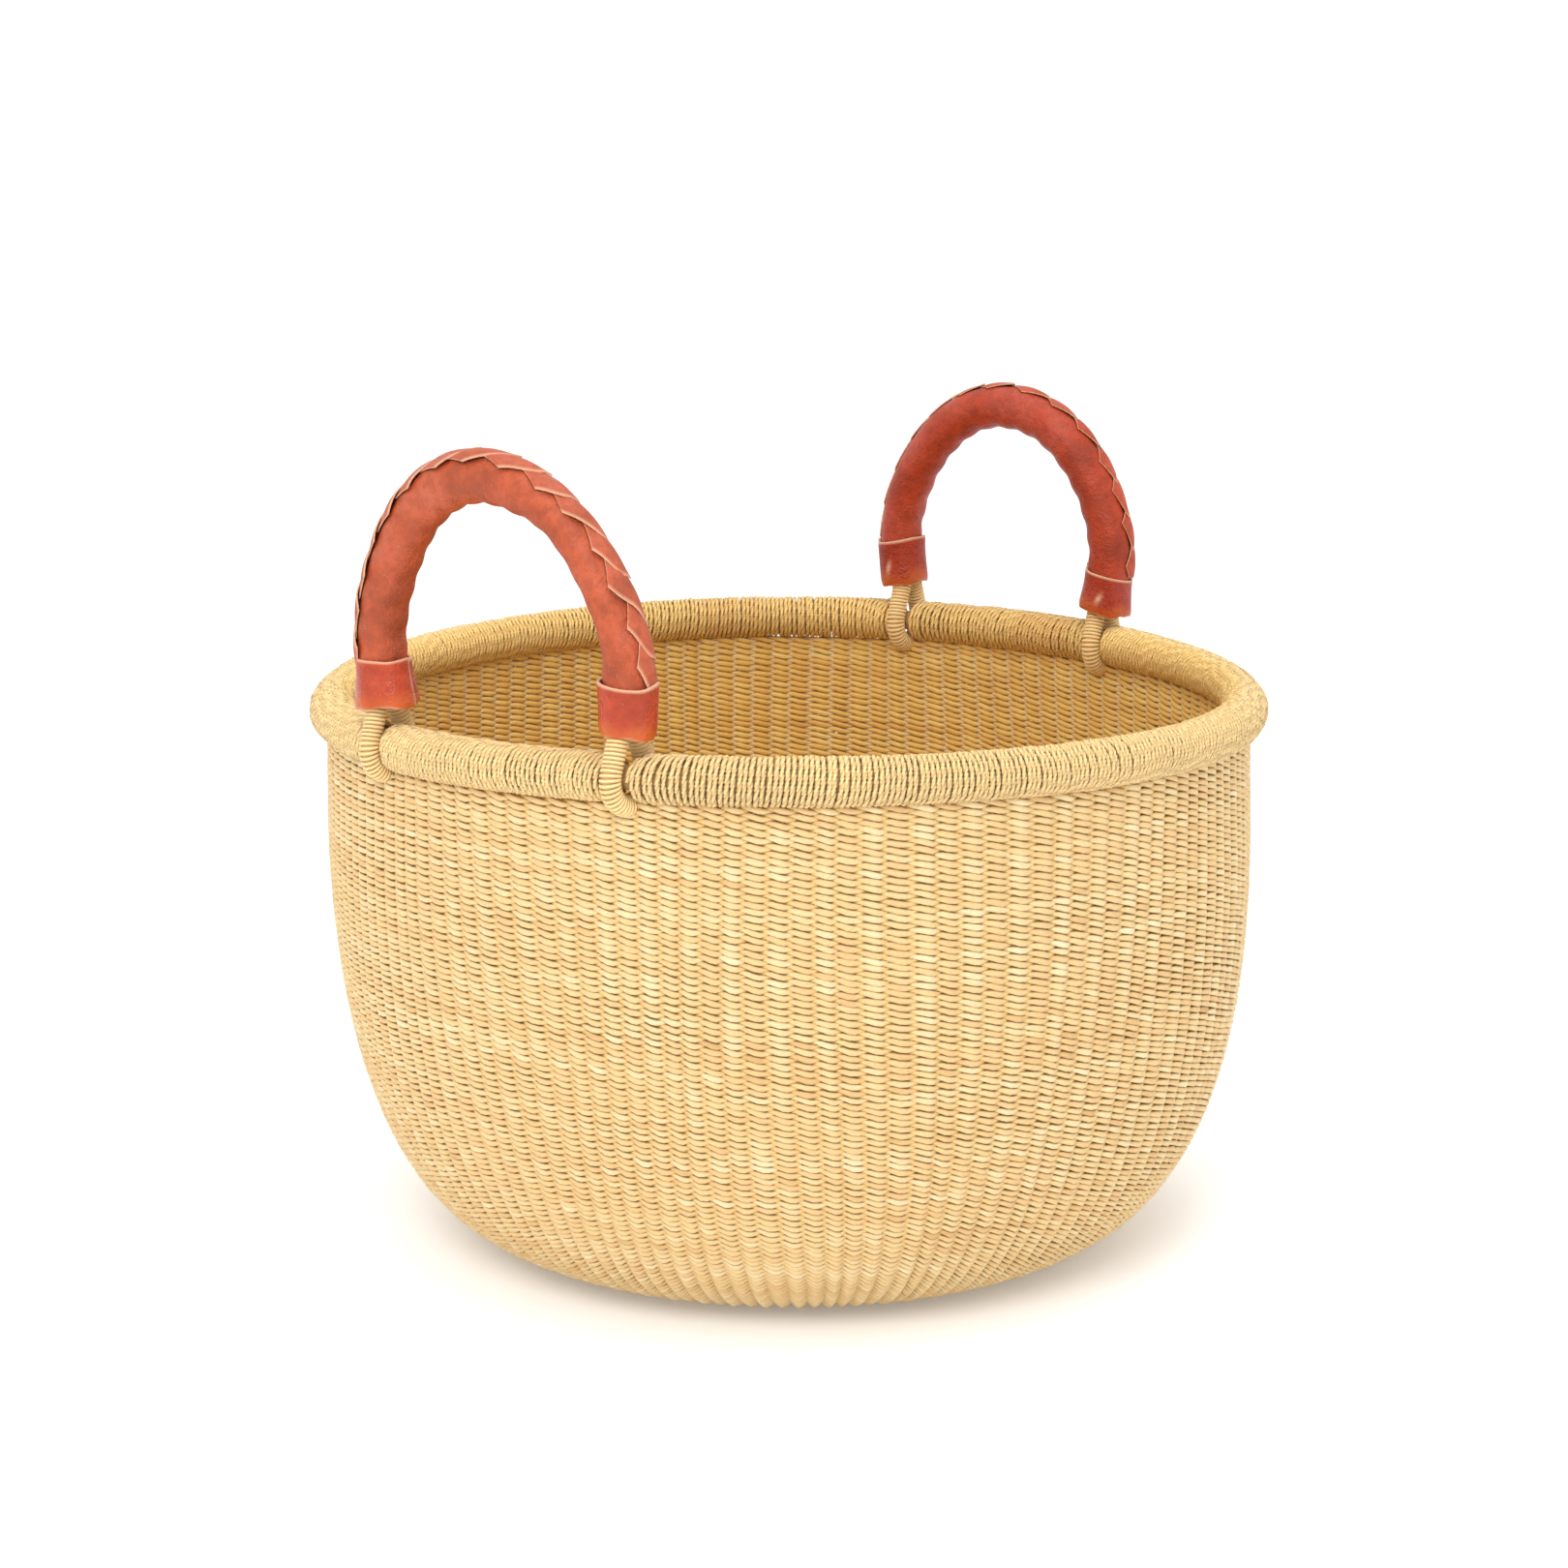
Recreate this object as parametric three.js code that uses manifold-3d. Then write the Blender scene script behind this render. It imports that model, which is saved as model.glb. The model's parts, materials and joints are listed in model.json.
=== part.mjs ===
// A round floor basket of twined grass. Its rim is a grass hoop bound with cord. Two leather-covered
// grass handles stand on the rim, and each hangs on two rope loops that go round the rim and
// through the wall, so a handle can tip in and out about the line through its loops.
//
// Millimetres, +Z up. The origin is the centre of the flat underside.

import * as THREE from 'three';
import { mergeVertices } from 'three/addons/utils/BufferGeometryUtils.js';
import Module from 'manifold-3d';

// ---------------------------------------------------------------- driving dimensions

const RIM_CENTRE_RADIUS = 214;
const RIM_CENTRE_HEIGHT = 258.5;
const RIM_RADIUS = 11;
const RIM_CORE_RADIUS = 7.8;

const FLOOR_RADIUS = 118;
const BELLY_RADIUS = 218;
const BELLY_HEIGHT = 200;
const TURN_SOFTNESS = 68;
const BELLY_SOFTNESS = 130;
const WEAVE_THICKNESS = 6;

const ROPE_RADIUS = 4.8;
const LOOP_RADIUS = 11.9;
const LOOP_CLEARANCE = 0.6;
const NECK_START = 15.5;
const NECK_END = 24;
const NECK_RADIUS = 6.5;

const CORE_RADIUS = 8.8;
const SLEEVE_RADIUS = 11;
const LACING_RADIUS = 13;
const LACING_THICKNESS = 1.2;
const LACING_HALF_ANGLE = THREE.MathUtils.degToRad(46);
const CUFF_BOTTOM = 18.5;
const CUFF_TOP = 40.5;
const CUFF_RADIUS = 12.8;

const GAP = 0.35;

// Each handle is hand made, so the two differ a little. The belt is the height at which the arch
// is widest. A handle's heights, like the neck's and the cuffs', are above the centre of the rim.
const HANDLES = [
  { name: 'left', azimuth: 233.3, halfChord: 68, crest: 121, belt: 26 },
  { name: 'right', azimuth: 57.2, halfChord: 58, crest: 117, belt: 33 },
];

const STEPS_AROUND = 48;
const TURN_STEPS = 9;
const RIM_SIDES = 8;
const SLEEVE_SIDES = 10;
const SLEEVE_STEPS = 30;
const CUFF_STEPS = 3;
const LOOP_STEPS = 16;
const LOOP_SIDES = 8;

// ---------------------------------------------------------------- materials

const matt = (color, roughness) => new THREE.MeshStandardMaterial({ color, roughness, metalness: 0 });

const straw = matt(0xdcbf8c, 0.85);
const strawCord = matt(0xe0c596, 0.8);
const grass = matt(0xb99a5c, 0.9);
const sleeveLeather = { left: matt(0xc05c42, 0.55), right: matt(0xad4633, 0.55) };
const laceLeather = matt(0xd07c5e, 0.6);
const cuffLeather = matt(0xb9452c, 0.45);

// ---------------------------------------------------------------- solids and booleans

const wasm = await Module();
wasm.setup();

function toSolid(geometry) {
  const bare = geometry.clone();
  bare.deleteAttribute('normal');
  bare.deleteAttribute('uv');
  const merged = mergeVertices(bare, 1e-4);
  const vertProperties = new Float32Array(merged.attributes.position.array);
  const triVerts = new Uint32Array(merged.index.array);
  return new wasm.Manifold(new wasm.Mesh({ numProp: 3, vertProperties, triVerts }));
}

function toGeometry(solid) {
  const mesh = solid.getMesh();
  const geometry = new THREE.BufferGeometry();
  geometry.setAttribute('position', new THREE.BufferAttribute(mesh.vertProperties, 3));
  geometry.setIndex(new THREE.BufferAttribute(mesh.triVerts, 1));
  geometry.computeVertexNormals();
  return geometry;
}

function named(name, geometry, material) {
  const mesh = new THREE.Mesh(geometry, material);
  mesh.name = name;
  return mesh;
}

// Turns a closed profile of (radius, height) points about the basket's upright axis.
function turned(profile) {
  return new THREE.LatheGeometry([...profile, profile[0].clone()], STEPS_AROUND).rotateX(Math.PI / 2);
}

// ---------------------------------------------------------------- the arch of a handle

// The centre line of a handle is an ellipse cut off at the feet, in the XZ plane of its own group.
class HandleArch extends THREE.Curve {
  constructor(handle, startAngle, endAngle) {
    super();
    this.belt = handle.belt;
    this.semiHeight = handle.crest - handle.belt;
    this.halfWidth = handle.halfChord / Math.sqrt(1 - (handle.belt / this.semiHeight) ** 2);
    this.startAngle = startAngle;
    this.endAngle = endAngle;
  }

  getPoint(t, target = new THREE.Vector3()) {
    const angle = THREE.MathUtils.lerp(this.startAngle, this.endAngle, t);
    return target.set(this.halfWidth * Math.cos(angle), 0, this.belt + this.semiHeight * Math.sin(angle));
  }
}

function angleAt(handle, height) {
  return Math.asin((height - handle.belt) / (handle.crest - handle.belt));
}

// The arch from one leg, over the crest, to the same height on the other leg.
function archFrom(handle, height) {
  const start = angleAt(handle, height);
  return new HandleArch(handle, start, Math.PI - start);
}

// A stretch of one leg. The side is 1 for the leg on +X and -1 for the other.
function legSpan(handle, side, low, high) {
  const start = angleAt(handle, low);
  const end = angleAt(handle, high);
  return side > 0 ? new HandleArch(handle, start, end) : new HandleArch(handle, Math.PI - end, Math.PI - start);
}

// A handle's group stands on the line between its feet, with +Y pointing out of the basket.
function handleGroup(handle) {
  const azimuth = THREE.MathUtils.degToRad(handle.azimuth);
  const chordDistance = Math.sqrt(RIM_CENTRE_RADIUS ** 2 - handle.halfChord ** 2);
  const group = new THREE.Group();
  group.position.set(chordDistance * Math.cos(azimuth), chordDistance * Math.sin(azimuth), RIM_CENTRE_HEIGHT);
  group.rotation.z = azimuth - Math.PI / 2;
  group.updateMatrix();
  return group;
}

// ---------------------------------------------------------------- loops and the room they turn in

function loopRing(handle, side, ropeRadius) {
  const ring = new THREE.TorusGeometry(LOOP_RADIUS, ropeRadius, LOOP_SIDES, LOOP_STEPS);
  return ring.rotateY(Math.PI / 2).translate(side * handle.halfChord, 0, 0);
}

// A ring of clear space round each loop, so that it can turn about the line between the feet.
function loopRoom() {
  const rings = [];
  for (const handle of HANDLES) {
    const { matrix } = handleGroup(handle);
    for (const side of [1, -1]) {
      rings.push(toSolid(loopRing(handle, side, ROPE_RADIUS + LOOP_CLEARANCE).applyMatrix4(matrix)));
    }
  }
  return rings;
}

const rooms = loopRoom();
const clearOfLoops = (geometry) => rooms.reduce((solid, room) => solid.subtract(room), toSolid(geometry));

// ---------------------------------------------------------------- woven bowl

function floorProfile() {
  const edge = FLOOR_RADIUS - GAP;
  return [
    new THREE.Vector2(0, 0),
    new THREE.Vector2(edge, 0),
    new THREE.Vector2(edge, WEAVE_THICKNESS),
    new THREE.Vector2(0, WEAVE_THICKNESS),
  ];
}

// The outer skin rises from the edge of the floor through a soft turn to the belly, and goes on
// almost straight to the rim. The inner skin keeps one thickness of weave behind it.
function wallProfile() {
  const turn = new THREE.CubicBezierCurve(
    new THREE.Vector2(FLOOR_RADIUS, 0),
    new THREE.Vector2(FLOOR_RADIUS + TURN_SOFTNESS, 0),
    new THREE.Vector2(BELLY_RADIUS, BELLY_HEIGHT - BELLY_SOFTNESS),
    new THREE.Vector2(BELLY_RADIUS, BELLY_HEIGHT),
  );
  const wallTop = RIM_CENTRE_HEIGHT - RIM_CORE_RADIUS - GAP;
  const outer = [];
  const inner = [];
  for (let i = 0; i <= TURN_STEPS; i += 1) {
    const point = turn.getPoint(i / TURN_STEPS);
    const tangent = turn.getTangent(i / TURN_STEPS);
    const inwards = new THREE.Vector2(-tangent.y, tangent.x).multiplyScalar(WEAVE_THICKNESS);
    outer.push(point);
    inner.unshift(point.clone().add(inwards));
  }
  const topOuter = new THREE.Vector2(RIM_CENTRE_RADIUS + WEAVE_THICKNESS / 2, wallTop);
  const topInner = new THREE.Vector2(RIM_CENTRE_RADIUS - WEAVE_THICKNESS / 2, wallTop);
  return [...outer, topOuter, topInner, ...inner];
}

function wovenBowl() {
  return [
    named('woven_base', turned(floorProfile()), straw),
    named('woven_wall', toGeometry(clearOfLoops(turned(wallProfile()))), straw),
  ];
}

// ---------------------------------------------------------------- rim

function rimCoreProfile() {
  const points = [];
  for (let i = 0; i < RIM_SIDES; i += 1) {
    const angle = (i / RIM_SIDES) * 2 * Math.PI;
    const radius = RIM_CENTRE_RADIUS + RIM_CORE_RADIUS * Math.cos(angle);
    points.push(new THREE.Vector2(radius, RIM_CENTRE_HEIGHT + RIM_CORE_RADIUS * Math.sin(angle)));
  }
  return points;
}

// The binding is a skin of cord round the core, open below, where the wall comes up into it.
function bindingProfile() {
  const arc = (radius) => {
    const slot = Math.asin((WEAVE_THICKNESS / 2 + GAP) / radius);
    const points = [];
    for (let i = 0; i <= RIM_SIDES; i += 1) {
      const angle = THREE.MathUtils.lerp(slot, 2 * Math.PI - slot, i / RIM_SIDES) - Math.PI / 2;
      const x = RIM_CENTRE_RADIUS + radius * Math.cos(angle);
      points.push(new THREE.Vector2(x, RIM_CENTRE_HEIGHT + radius * Math.sin(angle)));
    }
    return points;
  };
  const innerRadius = (RIM_CORE_RADIUS + GAP) / Math.cos(Math.PI / RIM_SIDES);
  return [...arc(RIM_RADIUS), ...arc(innerRadius).reverse()];
}

// The loops' rooms part the binding into lengths, numbered by where they start round the rim.
function rimBindings() {
  const azimuthOf = (solid) => {
    const { min, max } = solid.boundingBox();
    return Math.atan2(min[1] + max[1], min[0] + max[0]);
  };
  const lengths = clearOfLoops(turned(bindingProfile())).decompose();
  lengths.sort((a, b) => azimuthOf(a) - azimuthOf(b));
  return lengths.map((solid, i) => named(`rim_binding_${i + 1}`, toGeometry(solid), strawCord));
}

function rim() {
  return [named('rim_core', toGeometry(clearOfLoops(turned(rimCoreProfile()))), grass), ...rimBindings()];
}

// ---------------------------------------------------------------- handles

function roundSection(radius) {
  const corners = [];
  for (let i = 0; i < SLEEVE_SIDES; i += 1) {
    const angle = (i / SLEEVE_SIDES) * 2 * Math.PI;
    corners.push(new THREE.Vector2(radius * Math.cos(angle), radius * Math.sin(angle)));
  }
  return new THREE.Shape(corners);
}

function sweep(section, path, steps) {
  return new THREE.ExtrudeGeometry(section, { extrudePath: path, steps, curveSegments: 2, bevelEnabled: false });
}

function tube(outerRadius, innerRadius, path, steps) {
  const section = roundSection(outerRadius);
  section.holes.push(roundSection(innerRadius));
  return sweep(section, path, steps);
}

// The lacing is a strip that hugs the outer side of the sleeve.
function lacing(handle) {
  const from = Math.PI / 2 - LACING_HALF_ANGLE;
  const to = Math.PI / 2 + LACING_HALF_ANGLE;
  const section = new THREE.Shape();
  section.absarc(0, 0, LACING_RADIUS, from, to, false);
  section.absarc(0, 0, LACING_RADIUS - LACING_THICKNESS, to, from, true);
  return sweep(section, archFrom(handle, CUFF_TOP + GAP), SLEEVE_STEPS);
}

// A ring of bound rope, and the neck in which its two ends go up into the cuff.
function footLoop(handle, side) {
  const neck = sweep(roundSection(NECK_RADIUS), legSpan(handle, side, NECK_START, NECK_END), 1);
  return toGeometry(toSolid(loopRing(handle, side, ROPE_RADIUS)).add(toSolid(neck)));
}

function handleAssembly(handle) {
  const group = handleGroup(handle);
  const prefix = `handle_${handle.name}`;
  const leather = sleeveLeather[handle.name];
  const grip = archFrom(handle, NECK_END + GAP);
  group.add(named(`${prefix}_core`, sweep(roundSection(CORE_RADIUS), grip, SLEEVE_STEPS), grass));
  group.add(named(`${prefix}_sleeve`, tube(SLEEVE_RADIUS, CORE_RADIUS + GAP, grip, SLEEVE_STEPS), leather));
  group.add(named(`${prefix}_lacing`, lacing(handle), laceLeather));
  for (const [letter, side] of [['a', 1], ['b', -1]]) {
    const leg = legSpan(handle, side, CUFF_BOTTOM, CUFF_TOP);
    const cuff = tube(CUFF_RADIUS, SLEEVE_RADIUS + GAP, leg, CUFF_STEPS);
    group.add(named(`${prefix}_cuff_${letter}`, cuff, cuffLeather));
    group.add(named(`${prefix}_loop_${letter}`, footLoop(handle, side), strawCord));
  }
  return group;
}

// ---------------------------------------------------------------- basket

const basket = new THREE.Group();
basket.add(...wovenBowl(), ...rim());
for (const handle of HANDLES) {
  basket.add(handleAssembly(handle));
}

export default basket;
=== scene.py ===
"""A round floor basket: twined grass, a cord-bound rim, and two leather handles on rope loops.

Laid out as an add-on: sizes and colours are properties, each piece or group of pieces has an
operator, and a panel lists them. Everything is in metres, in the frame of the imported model.
"""

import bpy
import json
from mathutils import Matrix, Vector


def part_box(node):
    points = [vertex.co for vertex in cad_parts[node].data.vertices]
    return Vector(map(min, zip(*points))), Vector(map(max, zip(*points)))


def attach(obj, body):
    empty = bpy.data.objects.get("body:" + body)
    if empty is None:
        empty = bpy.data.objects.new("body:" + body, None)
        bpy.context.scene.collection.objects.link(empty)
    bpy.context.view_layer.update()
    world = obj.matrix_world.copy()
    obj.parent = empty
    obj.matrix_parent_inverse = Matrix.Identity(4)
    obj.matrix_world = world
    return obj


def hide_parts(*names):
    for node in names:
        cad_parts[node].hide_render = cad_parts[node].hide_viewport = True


bl_info = {
    "name": "Twined grass basket",
    "version": (1, 0, 0),
    "blender": (4, 5, 0),
    "location": "View3D > Sidebar > Basket",
    "description": "Weaves a round grass basket with laced leather handles round its packed frame",
    "category": "Add Mesh",
}

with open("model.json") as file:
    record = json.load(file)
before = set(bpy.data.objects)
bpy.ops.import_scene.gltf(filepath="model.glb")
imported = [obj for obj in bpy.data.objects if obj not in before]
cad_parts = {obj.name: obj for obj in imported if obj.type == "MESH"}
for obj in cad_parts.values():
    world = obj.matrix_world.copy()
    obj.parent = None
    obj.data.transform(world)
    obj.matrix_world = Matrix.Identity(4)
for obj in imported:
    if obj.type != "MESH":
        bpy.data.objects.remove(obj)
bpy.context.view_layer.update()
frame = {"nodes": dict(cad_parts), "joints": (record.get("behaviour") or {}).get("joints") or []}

import json
import math

import bpy
import numpy as np
from mathutils import Vector
from bpy.props import FloatProperty, FloatVectorProperty, IntProperty, PointerProperty

MM = 0.001
TAU = 2 * math.pi

# ------------------------------------------------------------------ sizes read from the frame

CORE_LOW, CORE_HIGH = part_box("rim_core")
RIM_CORE_RADIUS = (CORE_HIGH.z - CORE_LOW.z) / 2
RIM_HEIGHT = (CORE_HIGH.z + CORE_LOW.z) / 2
RIM_RING = CORE_HIGH.x - RIM_CORE_RADIUS
RIM_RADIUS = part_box("rim_binding_2")[1].z - RIM_HEIGHT
FLOOR_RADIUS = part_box("woven_base")[1].x
WEAVE_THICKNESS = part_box("woven_base")[1].z
BELLY_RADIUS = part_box("woven_wall")[1].x

# The turn from the floor up to the belly: how far its curve pulls out along the floor, how far
# it pulls down from the belly, and the height of the belly.
TURN_PULL = 68 * MM
BELLY_PULL = 130 * MM
BELLY_HEIGHT = 200 * MM

# A basket dries a little out of true: its rim hangs lower at the sides than at the front and
# back, and its bowl leans.
RIM_DROOP = 4.2 * MM
BOWL_LEAN = 2.6 * MM

# The height above the rim's centre at which each handle is widest.
BELT = {"left": 26 * MM, "right": 33 * MM}

# How far each handle's crest leans towards its first foot.
LEAN = {"left": 8.5 * MM, "right": 0.2 * MM}

# How far each leg is drawn in at its foot, from a little above the cuff down.
FOOT_DRAW = 2.8 * MM
FOOT_DRAW_TOP = 58.5 * MM

# How each cuff sits, for the foot on its handle's +X side and then the other: how far it has slid
# down, how much higher it is away from the arch, and how far its foot flares.
CUFF_FIT = {
    "left": [(1.4 * MM, 0.3 * MM, 1.6 * MM), (0.4 * MM, -1.2 * MM, -1.8 * MM)],
    "right": [(3.4 * MM, -2.0 * MM, 0.8 * MM), (-2.6 * MM, -1.9 * MM, -1.0 * MM)],
}

# Heights above the hinge line.
SLEEVE_START = 24.5 * MM
CUFF_BOTTOM = 18.5 * MM
CUFF_TOP = 40.5 * MM
LACE_START = CUFF_TOP - 4 * MM

SLEEVE_RADIUS = 11 * MM
CUFF_THICKNESS = 1.3 * MM
CUFF_OVERLAP = math.radians(42)
LACE_WIDTH = 12 * MM
LACE_CROSSING = 15 * MM
LACE_THICKNESS = 0.7 * MM

# A rope loop: its own radius, the radius of its round part, how far that part carries on past a
# half turn at each end, and the length of each straight leg.
ROPE_RADIUS = 4.8 * MM
LOOP_RADIUS = 11.9 * MM
LOOP_LIFT = math.radians(20)
LOOP_LEG = 19 * MM

# The rim's binding stops at the first of these distances from a loop's middle, and its shoulder
# starts to fall away at the second. The third sets how far it falls.
SHOULDER_GAP = ROPE_RADIUS + 0.7 * MM
SHOULDER = 12 * MM
SHOULDER_DROP = 2.4 * MM

# Each loop grips the rim's bundle, which is drawn in by this share there. The grip is full up to
# the first distance from the loop's middle and gone by the second.
GRIP_SHARE = 0.26
GRIP_FULL = 4 * MM
GRIP_END = 8 * MM

# The way out of the basket in a handle's own axes, and straight up in any axes.
ACROSS = np.array([0.0, 1.0, 0.0])
UPRIGHT = np.array([0.0, 0.0, 1.0])


# ------------------------------------------------------------------ small tools


def smooth_step(value, low, high):
    t = np.clip((value - low) / (high - low), 0, 1)
    return t * t * (3 - 2 * t)


def round_section(sides):
    angle = TAU * (np.arange(sides) + 0.5) / sides
    return np.stack([np.cos(angle), np.sin(angle)], -1)


# The section of a flat strand: broad faces outwards and inwards, narrow edges.
FLAT_SECTION = np.array([(1, -0.6), (1, 0.6), (0.05, 1), (-1, 0.6), (-1, -0.6), (0.05, -1)])


def unit(vectors):
    return vectors / np.linalg.norm(vectors, axis=-1, keepdims=True)


def around(angle, radius, height):
    """Points, or directions, at an angle round the basket's own axis."""
    return np.stack([radius * np.cos(angle), radius * np.sin(angle), height + 0 * angle], -1)


def reach_along(line):
    """The distance along a line to each of its points."""
    return np.concatenate([[0], np.cumsum(np.linalg.norm(np.diff(line, axis=0), axis=1))])


def sideways(angle):
    """The level direction that runs round the basket at an angle."""
    return np.stack([-np.sin(angle), np.cos(angle), 0 * angle], -1)


def swing(first, second, angle):
    """Directions turned by an angle from the first towards the second, which is square to it."""
    return first * np.cos(angle)[:, None] + second * np.sin(angle)[:, None]


def mark_points(mesh, name, values):
    """Gives each point a value that a finish can read by name."""
    attribute = mesh.attributes.new(name, "FLOAT", "POINT")
    attribute.data.foreach_set("value", values.astype(np.float32))


class Pile:
    """Gathers tubes into one mesh: corner points, faces, a UV map and point attributes."""

    def __init__(self):
        self.points = []
        self.corners = []
        self.counts = []
        self.uvs = []
        self.marks = {}
        self.size = 0

    def add(self, points, faces, uvs, **marks):
        self.points.append(points)
        self.corners.append(faces.ravel() + self.size)
        self.counts.append(np.full(len(faces), faces.shape[1]))
        self.uvs.append(uvs.reshape(-1, 2))
        for key, value in marks.items():
            self.marks.setdefault(key, []).append(value)
        self.size += len(points)

    def add_tube(self, path, side, up, side_radius, up_radius, section, closed, **marks):
        """A tube round a path. side and up are unit directions across it, with their radii, and
        section gives the corners of its section in those two directions."""
        count = len(path)
        sides = len(section)
        side_radius = np.broadcast_to(side_radius, count)
        up_radius = np.broadcast_to(up_radius, count)
        ring = (
            path[:, None]
            + section[None, :, 0:1] * (side * side_radius[:, None])[:, None]
            + section[None, :, 1:2] * (up * up_radius[:, None])[:, None]
        )
        follow = np.roll(path, -1, axis=0) - path
        along = np.concatenate([[0], np.cumsum(np.linalg.norm(follow, axis=1))])
        rows = np.arange(count if closed else count - 1)[:, None]
        cols = np.arange(sides)[None, :]
        next_row = (rows + 1) % count
        next_col = (cols + 1) % sides
        lower = [rows * sides + cols, rows * sides + next_col]
        upper = [next_row * sides + next_col, next_row * sides + cols]
        faces = np.stack([*lower, *upper], -1).reshape(-1, 4)
        v0 = np.broadcast_to(cols / sides, (len(rows), sides))
        v1 = v0 + 1 / sides
        u0 = np.broadcast_to(along[rows], (len(rows), sides))
        u1 = np.broadcast_to(along[rows + 1], (len(rows), sides))
        uvs = np.stack([u0, v0, u0, v1, u1, v1, u1, v0], -1).reshape(-1, 4, 2)
        turned = np.dot(np.cross(side[0], up[0]), follow[0]) < 0
        if turned:
            faces = faces[:, ::-1]
            uvs = uvs[:, ::-1]
        spread = {}
        for key, value in marks.items():
            spread[key] = np.repeat(np.broadcast_to(value, count), sides)
        self.add(ring.reshape(-1, 3), faces, uvs, **spread)
        if not closed:
            self.cap(ring[0], spread, 0, not turned)
            self.cap(ring[-1], spread, -1, turned)

    def cap(self, ring, spread, end, reverse):
        order = np.arange(len(ring))
        if reverse:
            order = order[::-1]
        ends = {key: np.full(len(ring), value[end]) for key, value in spread.items()}
        self.add(ring, order[None, :], np.zeros((len(ring), 2)), **ends)

    def build(self, name, materials):
        mesh = bpy.data.meshes.new(name)
        points = np.concatenate(self.points)
        corners = np.concatenate(self.corners)
        counts = np.concatenate(self.counts)
        mesh.vertices.add(len(points))
        mesh.vertices.foreach_set("co", points.ravel())
        mesh.loops.add(len(corners))
        mesh.loops.foreach_set("vertex_index", corners)
        mesh.polygons.add(len(counts))
        mesh.polygons.foreach_set("loop_start", np.cumsum(counts) - counts)
        mesh.update(calc_edges=True)
        mesh.polygons.foreach_set("use_smooth", np.ones(len(counts), bool))
        layer = mesh.uv_layers.new(name="Strand")
        layer.uv.foreach_set("vector", np.concatenate(self.uvs).ravel())
        for key, values in self.marks.items():
            mark_points(mesh, key, np.concatenate(values))
        mesh.validate()
        for material in materials:
            mesh.materials.append(material)
        piece = bpy.data.objects.new(name, mesh)
        bpy.context.scene.collection.objects.link(piece)
        return piece


def settle(points):
    """Where a true point ends up once the basket has dried a little out of true."""
    x, y, z = points.T
    high = smooth_step(z, 90 * MM, 255 * MM)
    low = 1 - smooth_step(z, 40 * MM, 255 * MM)
    turn = np.arctan2(y, x)
    belly = np.sin(math.pi * np.clip(z / RIM_HEIGHT, 0, 1))
    swell = 1 + belly * (0.004 * np.sin(2 * turn + 0.9) + 0.0025 * np.sin(3 * turn))
    droop = RIM_DROOP * high * ((x / RIM_RING) ** 2 - 0.22)
    return np.stack([x * swell + BOWL_LEAN * low, y * swell, z - droop], -1)


def points_of(piece):
    points = np.empty(len(piece.data.vertices) * 3)
    piece.data.vertices.foreach_get("co", points)
    return points.reshape(-1, 3)


def set_points(piece, points):
    piece.data.vertices.foreach_set("co", np.ascontiguousarray(points, float).ravel())
    piece.data.update()


def finish_piece(piece, body, slot, *nodes):
    """Settles a finished piece, puts it on its body and lets it stand for the nodes it covers."""
    set_points(piece, settle(points_of(piece)))
    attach(piece, body)
    if nodes:
        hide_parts(*nodes)


def deselect_all():
    if bpy.context.object and bpy.context.object.mode != "OBJECT":
        bpy.ops.object.mode_set(mode="OBJECT")
    bpy.ops.object.select_all(action="DESELECT")


def select_only(piece):
    deselect_all()
    piece.select_set(True)
    bpy.context.view_layer.objects.active = piece


def smooth_by_angle(piece, degrees):
    select_only(piece)
    bpy.ops.object.shade_smooth_by_angle(angle=math.radians(degrees))


# ------------------------------------------------------------------ materials


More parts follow.
